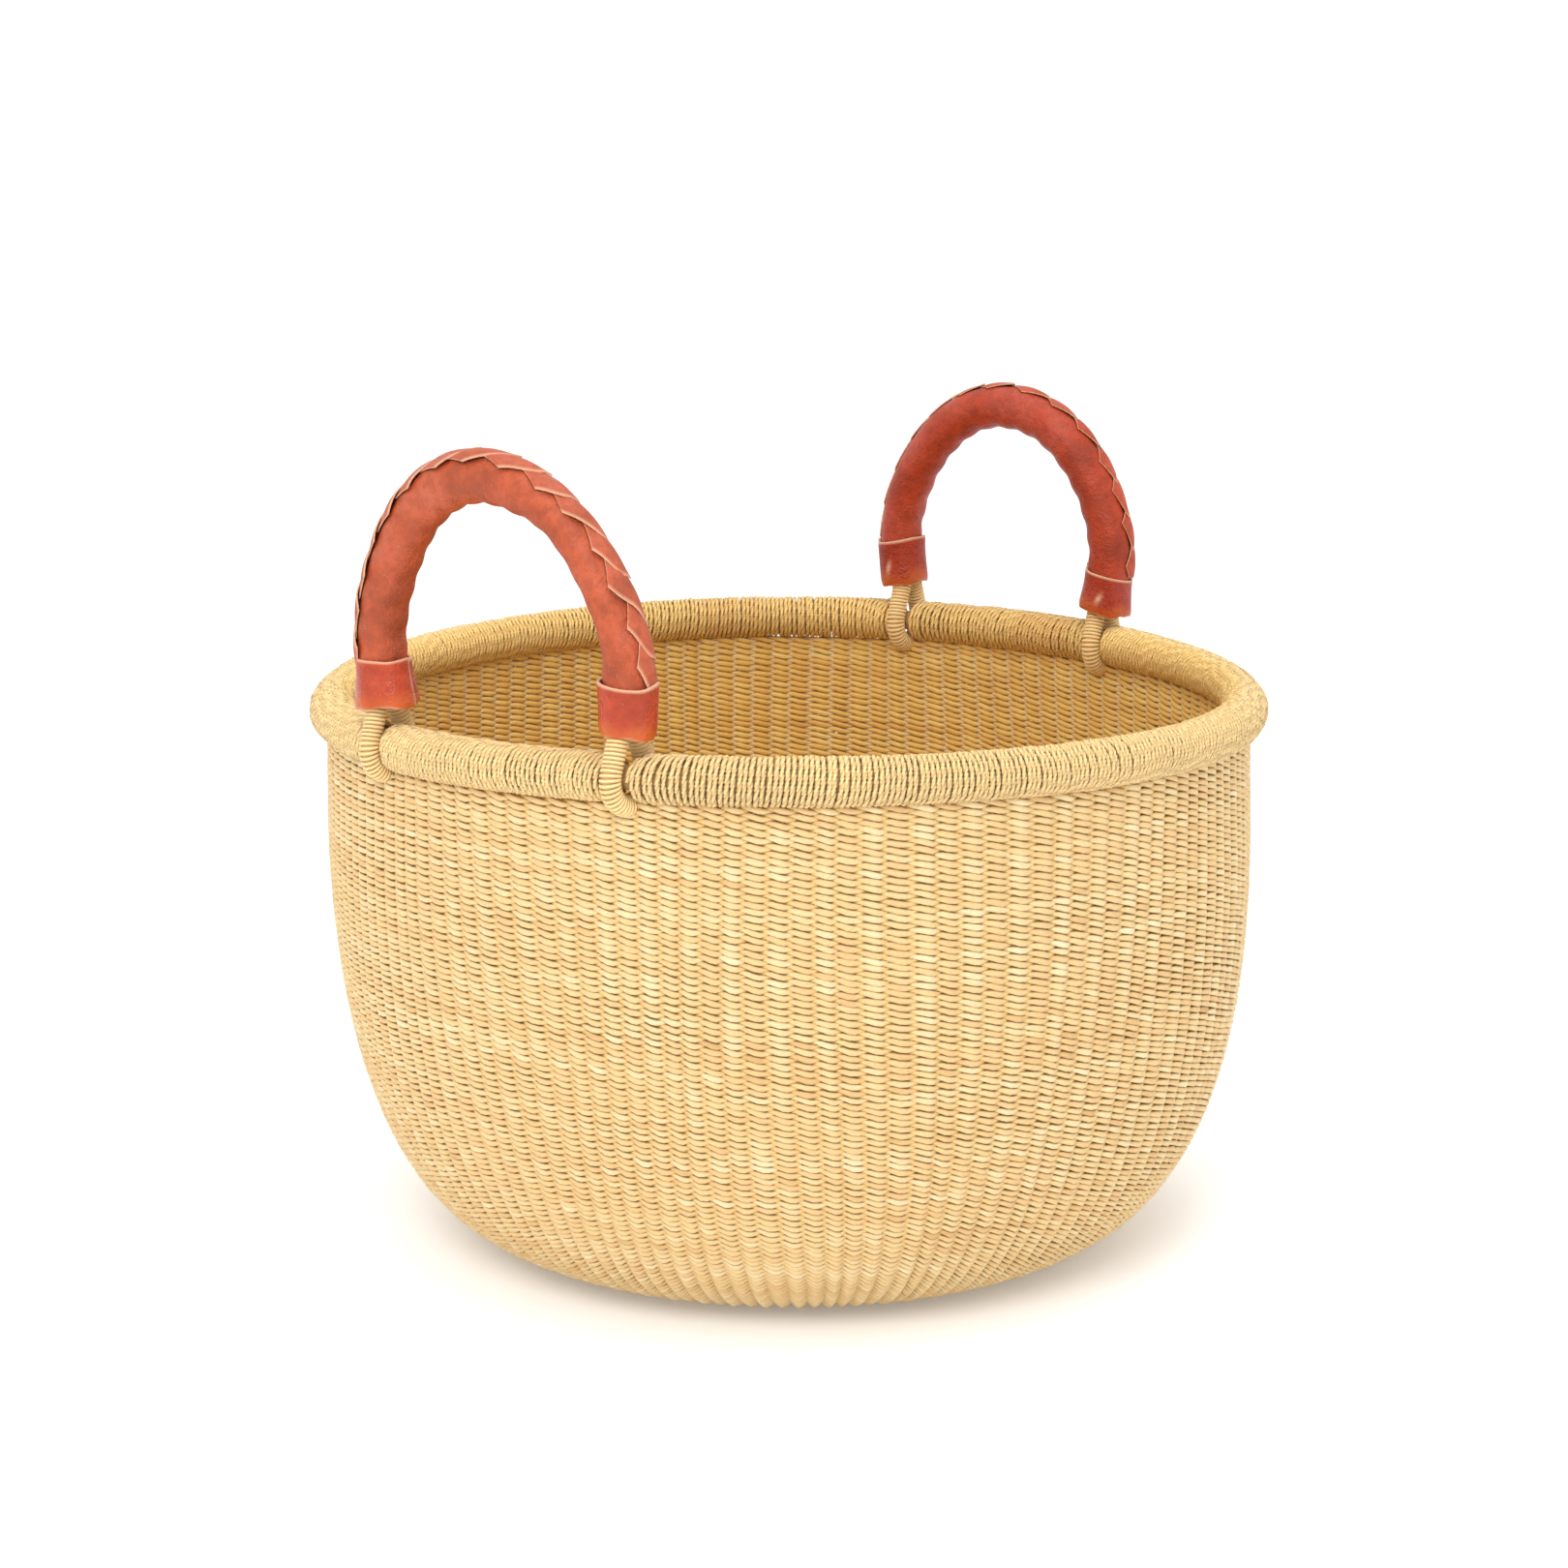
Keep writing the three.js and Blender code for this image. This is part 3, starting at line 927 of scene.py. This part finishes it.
def loop_line(count):
    """The rope's middle in the loop's plane: round under the rim, then straight up to the cuff."""
    arc = LOOP_RADIUS * (math.pi + 2 * LOOP_LIFT)
    total = arc + 2 * LOOP_LEG
    reach = np.linspace(0, total, count)
    on_arc = np.clip((reach - LOOP_LEG) / arc, 0, 1)
    angle = math.pi - LOOP_LIFT + on_arc * (math.pi + 2 * LOOP_LIFT)
    before = np.clip(LOOP_LEG - reach, 0, None)
    after = np.clip(reach - LOOP_LEG - arc, 0, None)
    y = LOOP_RADIUS * np.cos(angle) + (before - after) * math.sin(LOOP_LIFT)
    z = LOOP_RADIUS * np.sin(angle) + (before + after) * math.cos(LOOP_LIFT)
    tangent = unit(np.gradient(np.stack([y, z], -1), axis=0))
    return y, z, tangent, total


def bind_loop(sizes, handle, letter, side, rng):
    """Winds cord close round one loop's rope, from inside its cuff round under the rim and back."""
    cord = sizes.loop_cord_width / 2
    total = loop_line(8)[3]
    turns = int(total / (sizes.loop_cord_width * 0.93))
    steps = 12
    turn = np.arange(turns * steps + 1) / steps
    y, z, tangent, _ = loop_line(len(turn))
    away = np.stack([0 * y, -tangent[:, 1], tangent[:, 0]], -1)
    across = np.tile([1.0, 0.0, 0.0], (len(turn), 1))
    spoke = swing(away, across, TAU * turn)
    middle = np.stack([0 * y + side * handle.half_chord, y, z], -1)
    local = middle + spoke * (ROPE_RADIUS + 0.15 * MM - cord)
    follow = unit(np.stack([0 * y, tangent[:, 0], tangent[:, 1]], -1))
    turn_axes = np.stack([handle.x, handle.y, handle.z])
    pile = Pile()
    tones = np.clip(rng.normal(0.58, 0.1, turns + 1), 0, 1)[np.minimum(turn.astype(int), turns)]
    out_way = spoke @ turn_axes
    along_way = follow @ turn_axes
    pile.add_tube(handle.place(local), out_way, along_way, cord, cord, round_section(5), False, tone=tones)
    heart = handle.place(middle[::steps])
    thick = ROPE_RADIUS - 1.2 * cord
    out_way = away[::steps] @ turn_axes
    cross_way = across[::steps] @ turn_axes
    pile.add_tube(heart, out_way, cross_way, thick, thick, round_section(10), False, tone=0.2)
    piece = pile.build(f"handle_{handle.name}_rope_{letter}", [material("straw_cord")])
    finish_piece(piece, handle.body, "straw_cord", f"handle_{handle.name}_loop_{letter}")


def bind_loops(sizes):
    """Binds the two loops of each handle, the first on its handle's +X side."""
    rng = np.random.default_rng(41)
    for handle in handles():
        bind_loop(sizes, handle, "a", 1, rng)
        bind_loop(sizes, handle, "b", -1, rng)


# ------------------------------------------------------------------ leather


def leather_sheet(name, columns, rows):
    """A flat sheet of leather to be shaped: columns run along it and rows across it."""
    deselect_all()
    bpy.ops.mesh.primitive_grid_add(x_subdivisions=columns, y_subdivisions=rows, size=1)
    sheet = bpy.context.object
    sheet.name = name
    sheet.data.name = name
    points = points_of(sheet)
    return sheet, points[:, 0] + 0.5, points[:, 1] + 0.5


def join_seam(sheet):
    """Merges the two edges of a rolled sheet, and closes its open ends."""
    select_only(sheet)
    bpy.ops.object.mode_set(mode="EDIT")
    bpy.ops.mesh.select_all(action="SELECT")
    bpy.ops.mesh.remove_doubles(threshold=0.05 * MM)
    bpy.ops.mesh.select_all(action="DESELECT")
    bpy.ops.mesh.select_non_manifold()
    bpy.ops.mesh.edge_face_add()
    bpy.ops.mesh.select_all(action="SELECT")
    bpy.ops.mesh.normals_make_consistent(inside=False)
    bpy.ops.object.mode_set(mode="OBJECT")


def blend(places, known, rows):
    """Rows of x, y and z read off at places between the known ones."""
    return np.stack([np.interp(places, known, rows[:, k]) for k in range(3)], -1)


def arch_frame(handle, along, start, count=420):
    """For shares along the arch from a start angle to its match on the other leg: the arch's
    middle, the direction away from it, and the distance along it."""
    points, away, reach = handle.arch(start, math.pi - start, count)
    share = np.linspace(0, 1, count)
    return blend(along, share, points), unit(blend(along, share, away)), along * reach[-1]


def skin_radius(reach, roll, seed):
    """The sleeve's surface: nearly round, dented along the inside of the arch, a little lumpy."""
    rng = np.random.default_rng(seed)
    inside = smooth_step(-np.cos(roll), 0.1, 1.0)
    dents = np.abs(np.sin(math.pi * reach / (15 * MM) + rng.uniform(0, 3))) ** 2
    lumps = np.sin(reach / (13 * MM) + 2 * np.cos(roll) + rng.uniform(0, 6))
    lumps = lumps + 0.7 * np.sin(reach / (7.3 * MM) - 3 * np.cos(roll) + rng.uniform(0, 6))
    facets = np.cos(5 * roll + 1.7 * np.sin(reach / (23 * MM)))
    return SLEEVE_RADIUS - 0.25 * MM - 0.75 * MM * inside * dents + 0.14 * MM * lumps + 0.1 * MM * facets


def wrap_sleeve(handle, seed):
    """A sleeve of hide rolled round the grass core, from inside one cuff to inside the other."""
    start = handle.angle_at(SLEEVE_START)
    sheet, along, share = leather_sheet(f"handle_{handle.name}_hide", 190, 40)
    middle, outward, reach = arch_frame(handle, along, start)
    roll = share * TAU
    radius = skin_radius(reach, roll, seed)
    if handle.name == "left":
        # This sleeve is worn thinner on the inside of its second leg.
        worn = smooth_step(along, 0.55, 0.68) * smooth_step(along, 0.97, 0.85)
        radius = radius - 2.2 * MM * worn * smooth_step(-np.cos(roll), -0.2, 1.0)
    spoke = swing(outward, ACROSS, roll)
    set_points(sheet, handle.place(middle + spoke * radius[:, None]))
    join_seam(sheet)
    bpy.ops.object.shade_smooth()
    sheet.data.materials.append(material(f"leather_{handle.name}"))
    covered = [f"handle_{handle.name}_sleeve", f"handle_{handle.name}_core"]
    finish_piece(sheet, handle.body, f"leather_{handle.name}", *covered)


def model_lace_turn():
    """One flat turn of the lace, laid out flat. Its x runs from the seam's far side to its near
    side, its y from the edge that is covered to the edge that shows, and each is one unit."""
    sheet, across, forward = leather_sheet("lace_turn", 13, 8)
    flat = np.stack([across, forward, 0.012 * np.sin(math.pi * across)], -1)
    set_points(sheet, flat)
    mark_points(sheet.data, "raw", 0.7 * smooth_step(forward, 0.95, 1.0))
    return sheet


def lay_lace_turn(handle, flat, number, centre, length, sizes):
    """Bends a copy of the flat turn over the seam. The turns run askew across the seam, and each
    one's showing edge lies over the next."""
    rng = np.random.default_rng(1000 * len(handle.name) + number)
    turn = flat.copy()
    turn.data = flat.data.copy()
    turn.name = f"lace_{number}"
    bpy.context.scene.collection.objects.link(turn)
    across, forward, _ = points_of(turn).T
    way = 1 if handle.name == "left" else -1
    skew = math.radians(28)
    reach = math.radians(sizes.lace_reach) * rng.uniform(0.88, 1.08)
    width = LACE_WIDTH * rng.uniform(0.9, 1.12)
    crossing = LACE_CROSSING * rng.uniform(0.75, 1.2)
    ripple = 0.7 * MM * np.sin(TAU * 1.3 * across + rng.uniform(0, TAU)) * forward
    roll = reach - (1 - across) * (2 * reach - skew) - (1 - forward) * skew
    bow = 2.6 * MM * np.sin(math.pi * across) * forward + rng.uniform(-0.8, 0.8) * MM * across + ripple
    along = centre + way * ((1 - across) * crossing - (1 - forward) * width + bow - crossing / 2 + width / 2)
    share = np.clip(along / length, 0, 1)
    drift = math.radians(28) - math.radians(48) * share if way > 0 else math.radians(27)
    middle, outward, _ = arch_frame(handle, share, handle.angle_at(LACE_START))
    pillow = np.sin(math.pi * np.clip(forward * 1.05, 0, 1)) * np.sin(math.pi * across)
    curl = 0.5 * MM * forward**4 * np.sin(TAU * across + rng.uniform(0, TAU))
    lift = 0.3 * MM + 1.0 * MM * forward**1.5 + 0.9 * MM * pillow + curl
    radius = SLEEVE_RADIUS + 0.55 * MM + lift
    spoke = swing(outward, ACROSS, roll + drift)
    set_points(turn, handle.place(middle + spoke * radius[:, None]))
    orient_from_line(turn, handle.place(middle))
    return turn


def finish_leather_edge(sheet, thickness, bevel):
    """Gives a sheet its thickness, with the raw flesh colour on the cut edges."""
    select_only(sheet)
    solid = sheet.modifiers.new("Thickness", "SOLIDIFY")
    solid.thickness = thickness
    solid.offset = -1
    solid.material_offset_rim = 1
    rounding = sheet.modifiers.new("Rounded cut", "BEVEL")
    rounding.width = bevel
    rounding.segments = 2
    rounding.limit_method = "ANGLE"
    rounding.angle_limit = math.radians(50)
    for modifier in (solid, rounding):
        bpy.ops.object.modifier_apply(modifier=modifier.name)


def lace_handle(handle, sizes):
    """Lays the turns of the lace along the seam on the crest and joins them into one piece."""
    start = handle.angle_at(LACE_START)
    length = handle.arch(start, math.pi - start, 300)[2][-1]
    count = int(round(length / sizes.lace_pitch))
    flat = model_lace_turn()
    turns = []
    for number in range(count):
        centre = (number + 0.5) * length / count
        turn = lay_lace_turn(handle, flat, number, centre, length, sizes)
        turn.data.materials.append(material(f"lace_{handle.name}"))
        turn.data.materials.append(material("raw_edge"))
        finish_leather_edge(turn, LACE_THICKNESS, 0.15 * MM)
        turns.append(turn)
    bpy.data.objects.remove(flat)
    deselect_all()
    for turn in turns:
        turn.select_set(True)
    bpy.context.view_layer.objects.active = turns[0]
    bpy.ops.object.join()
    lace = bpy.context.object
    lace.name = f"handle_{handle.name}_lace"
    lace.data.name = lace.name
    smooth_by_angle(lace, 40)
    finish_piece(lace, handle.body, "lace_leather", f"handle_{handle.name}_lacing")


def wrap_cuff(handle, letter, side, seed):
    """A band of leather wrapped once and a bit round the foot of the sleeve."""
    rng = np.random.default_rng(seed)
    low = handle.angle_at(CUFF_BOTTOM)
    high = handle.angle_at(CUFF_TOP)
    if side < 0:
        low, high = math.pi - low, math.pi - high
    sheet, share, up = leather_sheet(f"handle_{handle.name}_band_{letter}", 84, 14)
    roll = share * (TAU + CUFF_OVERLAP) + math.radians(150 + 25 * rng.uniform(-1, 1))
    count = 60
    points, square, _ = handle.arch(low, high, count)
    line = np.linspace(0, 1, count)
    ragged = 0.5 * MM * np.sin(3 * roll + 2) + 0.22 * MM * np.sin(7 * roll + 2 * np.sin(2 * roll))
    lower, slope, flare = CUFF_FIT[handle.name][0 if side > 0 else 1]
    tilt = slope * side * np.cos(roll) - lower + 0.3 * MM * np.sin(2 * roll + rng.uniform(0, TAU))
    flap = 1.5 * MM * smooth_step(share, 0.86, 1.0)
    moved = ragged * (1 - up) + tilt * (0.35 + 0.65 * up) + flap * up
    height_share = np.clip(up + moved / (CUFF_TOP - CUFF_BOTTOM), -0.12, 1.2)
    middle = blend(height_share, line, points)
    # Past either end of the stretch of arch, the band carries straight on.
    above = np.clip(height_share - 1, 0, None)[:, None] * (count - 1)
    below = np.clip(height_share, None, 0)[:, None] * (count - 1)
    middle = middle + above * (points[-1] - points[-2]) + below * (points[1] - points[0])
    facing = unit(blend(height_share, line, square))
    swell = 0.75 * MM * smooth_step(up, 0.75, 0.0) - 0.5 * MM * smooth_step(up, 0.12, 0.0)
    pinch = 0.35 * MM * np.sin(2 * roll + rng.uniform(0, TAU)) + 0.2 * MM * np.sin(5 * roll) * (1 - up)
    lap_start = 1 - CUFF_OVERLAP / TAU
    step_up = 1.35 * MM * smooth_step(share, lap_start - 0.06, lap_start + 0.03)
    radius = SLEEVE_RADIUS + 1.35 * MM + swell + pinch + step_up + flare * (1 - up) ** 1.5
    spoke = swing(facing, ACROSS, roll)
    set_points(sheet, handle.place(middle + spoke * radius[:, None]))
    mark_points(sheet.data, "low", 0.6 * smooth_step(up + 0.08 * np.sin(4 * roll), 0.42, 0.0))
    raw = np.maximum(smooth_step(up, 0.95, 1.0), smooth_step(share, 0.985, 1.0))
    raw = np.maximum(raw, 0.5 * smooth_step(up, 0.05, 0.0) * (0.5 + 0.5 * np.sin(5 * roll + 2)))
    if handle.name == "right":
        # Each of these two has a pale scuff on the side that faces into the basket.
        spot = math.radians(279 if side > 0 else 262)
        scuff = np.exp(-(((roll - spot - 0.5 * (up - 0.42)) / 0.1) ** 2) - ((up - 0.42) / 0.13) ** 2)
        raw = np.maximum(raw, 0.85 * scuff)
    mark_points(sheet.data, "raw", raw)
    sheet.data.materials.append(material(f"cuff_{handle.name}"))
    sheet.data.materials.append(material("raw_edge"))
    orient_from_line(sheet, handle.place(middle))
    finish_leather_edge(sheet, CUFF_THICKNESS, 0.3 * MM)
    smooth_by_angle(sheet, 40)
    finish_piece(sheet, handle.body, "cuff_leather", f"handle_{handle.name}_cuff_{letter}")


def orient_from_line(sheet, middle):
    """Turns a single skin so that its faces look away from the line that it is wrapped round."""
    mesh = sheet.data
    corner = np.array([p.vertices[0] for p in mesh.polygons])
    centres = np.array([p.center for p in mesh.polygons])
    normals = np.array([p.normal for p in mesh.polygons])
    if np.mean(np.sum(normals * (centres - middle[corner]), axis=1)) < 0:
        mesh.flip_normals()


# ------------------------------------------------------------------ stage


def add_light(name, place, target, size, power):
    lamp = bpy.data.lights.new(name, "AREA")
    lamp.shape = "DISK"
    lamp.size = size
    lamp.energy = power
    holder = bpy.data.objects.new(name, lamp)
    bpy.context.scene.collection.objects.link(holder)
    holder.location = place
    aim = (np.array(target) - np.array(place)).tolist()
    holder.rotation_euler = Vector(aim).to_track_quat("-Z", "Y").to_euler()


def set_stage(stage):
    deselect_all()
    bpy.ops.mesh.primitive_plane_add(size=stage.floor_size)
    floor = bpy.context.object
    floor.name = "floor"
    finish = Finish("floor")
    paper = finish.noise(finish.place(), 40.0, 2.0)
    floor.data.materials.append(
        finish.done(
            finish.ramp(paper, [(0.3, stage.floor_shade), (0.7, stage.floor_pale)]),
            0.9,
            finish.bump(paper, 0.05 * MM),
            Emission_Color=(1, 1, 1, 1),
            Emission_Strength=stage.floor_glow,
        )
    )
    world = bpy.data.worlds.new("soft room")
    bpy.context.scene.world = world
    world.use_nodes = True
    sky = world.node_tree.nodes["Background"]
    sky.inputs["Color"].default_value = (1.0, 0.99, 0.98, 1)
    sky.inputs["Strength"].default_value = stage.room_light
    add_light("key", (-0.4, -1.9, 1.7), (0, 0, 0.15), 1.2, stage.key_power)
    add_light("top", (0.2, -0.2, 2.6), (0, 0, 0.2), 1.4, stage.top_power)
    camera = bpy.data.cameras.new("camera")
    camera.sensor_width = 36
    camera.lens = stage.lens
    camera.dof.use_dof = False
    holder = bpy.data.objects.new("camera", camera)
    bpy.context.scene.collection.objects.link(holder)
    holder.location = (0, -stage.camera_distance, stage.camera_height)
    holder.rotation_euler = (math.pi / 2 - stage.camera_tilt, 0, stage.camera_turn)
    bpy.context.scene.camera = holder
    bpy.context.scene.view_settings.view_transform = "Standard"


# ------------------------------------------------------------------ properties


def length_property(name, description, default):
    return FloatProperty(name=name, description=description, default=default, unit="LENGTH", precision=5)


def count_property(name, description, default):
    return IntProperty(name=name, description=description, default=default)


def colour_property(name, description, default):
    return FloatVectorProperty(
        name=name, description=description, default=default, subtype="COLOR", size=3, min=0, max=1
    )


class BasketSizes(bpy.types.PropertyGroup):
    """Sizes that a weaver would choose."""

    stake_count: count_property("Stakes", "Upright stakes round the wall, by eights", 136)
    row_pitch: length_property("Row pitch", "From one row of weft to the next", 3.05 * MM)
    strand_width: length_property("Strand width", "Height of a weft strand", 3.25 * MM)
    strand_depth: length_property("Strand depth", "Thickness of a weft strand", 2.25 * MM)
    stitch_swell: length_property("Swell", "How far a stitch stands off the weave's middle", 1.55 * MM)
    stitch_slant: length_property("Slant", "How far a stitch falls on each side of its stake", 0.85 * MM)
    steps_per_stitch: count_property("Steps", "Steps along a strand in a stitch", 4)
    first_ring: length_property("First ring", "Radius at which the stakes double first", 30 * MM)
    second_ring: length_property("Second ring", "Radius at which they double again", 60 * MM)
    stake_width: length_property("Stake width", "Width of a stake", 3.0 * MM)
    stake_depth: length_property("Stake depth", "Thickness of a stake", 1.6 * MM)
    points_in_a_piece: count_property("Points", "Where a woven piece ends", 90000)
    cord_width: length_property("Cord width", "Width of the rim's two-ply cord", 2.66 * MM)
    cord_pitch: length_property("Cord pitch", "From one turn of the rim's cord to the next", 2.35 * MM)
    twist_length: length_property("Twist", "Length of cord in which its plies turn once", 11.0 * MM)
    cord_sides: count_property("Cord sides", "Sides of the cord's section", 5)
    steps_per_turn: count_property("Turn steps", "Steps along the cord in a turn", 39)
    knots_per_turn: count_property("Knots", "Places in a turn at which the cord may stray", 4)
    loop_cord_width: length_property("Loop cord", "Width of the cord that binds the loops", 1.9 * MM)
    lace_pitch: length_property("Lace pitch", "From one turn of the lace to the next", 15.5 * MM)
    lace_reach: FloatProperty(name="Lace reach", description="Degrees the lace reaches each side", default=48)


class BasketColours(bpy.types.PropertyGroup):
    """Colours of the grass and the leather."""

    straw: colour_property("Straw", "Main colour of the dry grass", (0.76, 0.545, 0.25))
    straw_pale: colour_property("Pale straw", "The palest grasses", (0.86, 0.70, 0.42))
    straw_blush: colour_property("Blush straw", "Grasses with a pink cast", (0.74, 0.485, 0.215))
    straw_tan: colour_property("Tan straw", "The darkest grasses", (0.56, 0.33, 0.105))
    # Painted shade and warm bounced light on the weave's inner side.
    inside_shade_tint: colour_property("Inside", "Tint of the weave's inner side", (1.0, 0.88, 0.45))
    leather_left: colour_property("Left leather", "Hide of the left handle", (0.475, 0.086, 0.030))
    leather_right: colour_property("Right leather", "Hide of the right handle", (0.41, 0.045, 0.013))
    lace_left: colour_property("Left lace", "Lace of the left handle", (0.48, 0.096, 0.040))
    lace_right: colour_property("Right lace", "Lace of the right handle", (0.46, 0.065, 0.022))
    cuff_left: colour_property("Left cuff", "Glossy bands of the left handle", (0.47, 0.056, 0.018))
    cuff_right: colour_property("Right cuff", "Glossy bands of the right handle", (0.36, 0.032, 0.008))
    cuff_foot: colour_property("Cuff foot", "Where the band's dye turns orange", (0.60, 0.13, 0.018))
    raw_edge: colour_property("Raw edge", "Cut edges of the leather", (0.72, 0.42, 0.26))


class BasketStage(bpy.types.PropertyGroup):
    """Floor, lights and camera."""

    floor_size: length_property("Floor", "Side of the floor", 14.0)
    floor_shade: colour_property("Floor shade", "The floor's darker flecks", (0.925, 0.95, 0.98))
    floor_pale: colour_property("Floor pale", "The floor between its flecks", (0.94, 0.965, 0.99))
    floor_glow: FloatProperty(name="Glow", description="Light that the floor itself gives", default=0.16)
    room_light: FloatProperty(name="Room light", description="Strength of the light all round", default=1.02)
    key_power: FloatProperty(name="Key", description="Main lamp", default=22.0, unit="POWER")
    top_power: FloatProperty(name="Top", description="Lamp overhead", default=16.0, unit="POWER")
    lens: FloatProperty(name="Lens", description="Focal length", default=80.15, unit="CAMERA")
    camera_distance: length_property("Distance", "Camera's distance on the floor", 1.6244)
    camera_height: length_property("Height", "Camera's height", 0.5569)
    camera_tilt: FloatProperty(name="Tilt", description="Look down", default=0.20839, subtype="ANGLE")
    camera_turn: FloatProperty(name="Turn", description="Look aside", default=0.0014, subtype="ANGLE")


# ------------------------------------------------------------------ operators


class BASKET_OT_finishes(bpy.types.Operator):
    """Mix the straw, cord and leather finishes"""

    bl_idname = "basket.finishes"
    bl_label = "Mix finishes"

    def execute(self, context):
        mix_finishes(context.scene.basket_colours)
        return {"FINISHED"}


class BASKET_OT_floor(bpy.types.Operator):
    """Weave the rows of the flat floor round its coiled start"""

    bl_idname = "basket.floor"
    bl_label = "Weave floor"

    def execute(self, context):
        sizes = context.scene.basket_sizes
        weave(sizes, "weave_floor", "woven_base", 8 * MM, Profile().floor_reach, seed=3)
        weave_start()
        return {"FINISHED"}


class BASKET_OT_wall(bpy.types.Operator):
    """Weave the rows of the wall up to the rim"""

    bl_idname = "basket.wall"
    bl_label = "Weave wall"

    def execute(self, context):
        profile = Profile()
        top = profile.reach_at_height(RIM_HEIGHT - RIM_RADIUS + 0.4 * MM)
        sizes = context.scene.basket_sizes
        weave(sizes, "weave_wall", "woven_wall", profile.floor_reach, top, seed=5)
        return {"FINISHED"}


class BASKET_OT_stakes(bpy.types.Operator):
    """Lay the stakes that the weft goes round"""

    bl_idname = "basket.stakes"
    bl_label = "Lay stakes"

    def execute(self, context):
        weave_stakes(context.scene.basket_sizes)
        return {"FINISHED"}


class BASKET_OT_rim(bpy.types.Operator):
    """Lay the rim's bundle and wind cord round it between the loops"""

    bl_idname = "basket.rim"
    bl_label = "Bind rim"

    def execute(self, context):
        copy_bundle("rim_core", "rim_bundle")
        bind_rim(context.scene.basket_sizes)
        return {"FINISHED"}


class BASKET_OT_loops(bpy.types.Operator):
    """Wind cord round the four rope loops that carry the handles"""

    bl_idname = "basket.loops"
    bl_label = "Bind loops"

    def execute(self, context):
        bind_loops(context.scene.basket_sizes)
        return {"FINISHED"}


class BASKET_OT_sleeves(bpy.types.Operator):
    """Wrap each handle in its leather sleeve"""

    bl_idname = "basket.sleeves"
    bl_label = "Wrap sleeves"

    def execute(self, context):
        for index, handle in enumerate(handles()):
            wrap_sleeve(handle, seed=50 + index)
        return {"FINISHED"}


class BASKET_OT_laces(bpy.types.Operator):
    """Lace the seam along the crest of each handle"""

    bl_idname = "basket.laces"
    bl_label = "Lace handles"

    def execute(self, context):
        for handle in handles():
            lace_handle(handle, context.scene.basket_sizes)
        return {"FINISHED"}


class BASKET_OT_cuffs(bpy.types.Operator):
    """Wrap a band round each foot of each handle"""

    bl_idname = "basket.cuffs"
    bl_label = "Wrap cuffs"

    def execute(self, context):
        for index, handle in enumerate(handles()):
            wrap_cuff(handle, "a", 1, seed=70 + index)
            wrap_cuff(handle, "b", -1, seed=80 + index)
        return {"FINISHED"}


class BASKET_OT_stage(bpy.types.Operator):
    """Lay the floor and set the lights and the camera"""

    bl_idname = "basket.stage"
    bl_label = "Set stage"

    def execute(self, context):
        set_stage(context.scene.basket_stage)
        return {"FINISHED"}


STEPS = [
    BASKET_OT_finishes,
    BASKET_OT_floor,
    BASKET_OT_wall,
    BASKET_OT_stakes,
    BASKET_OT_rim,
    BASKET_OT_loops,
    BASKET_OT_sleeves,
    BASKET_OT_laces,
    BASKET_OT_cuffs,
    BASKET_OT_stage,
]


class BASKET_PT_panel(bpy.types.Panel):
    """Lists the basket's steps, sizes and colours"""

    bl_label = "Basket"
    bl_space_type = "VIEW_3D"
    bl_region_type = "UI"
    bl_category = "Basket"

    def draw(self, context):
        for step in STEPS:
            self.layout.operator(step.bl_idname)
        scene = context.scene
        for group in (scene.basket_sizes, scene.basket_colours, scene.basket_stage):
            box = self.layout.box()
            for key in group.__annotations__:
                box.prop(group, key)


CLASSES = [BasketSizes, BasketColours, BasketStage, *STEPS, BASKET_PT_panel]


def register():
    for entry in CLASSES:
        bpy.utils.register_class(entry)
    bpy.types.Scene.basket_sizes = PointerProperty(type=BasketSizes)
    bpy.types.Scene.basket_colours = PointerProperty(type=BasketColours)
    bpy.types.Scene.basket_stage = PointerProperty(type=BasketStage)


def unregister():
    del bpy.types.Scene.basket_stage
    del bpy.types.Scene.basket_colours
    del bpy.types.Scene.basket_sizes
    for entry in reversed(CLASSES):
        bpy.utils.unregister_class(entry)


def main():
    register()
    bpy.ops.basket.finishes()
    bpy.ops.basket.floor()
    bpy.ops.basket.wall()
    bpy.ops.basket.stakes()
    bpy.ops.basket.rim()
    bpy.ops.basket.loops()
    bpy.ops.basket.sleeves()
    bpy.ops.basket.laces()
    bpy.ops.basket.cuffs()
    bpy.ops.basket.stage()


if __name__ == "__main__":
    main()
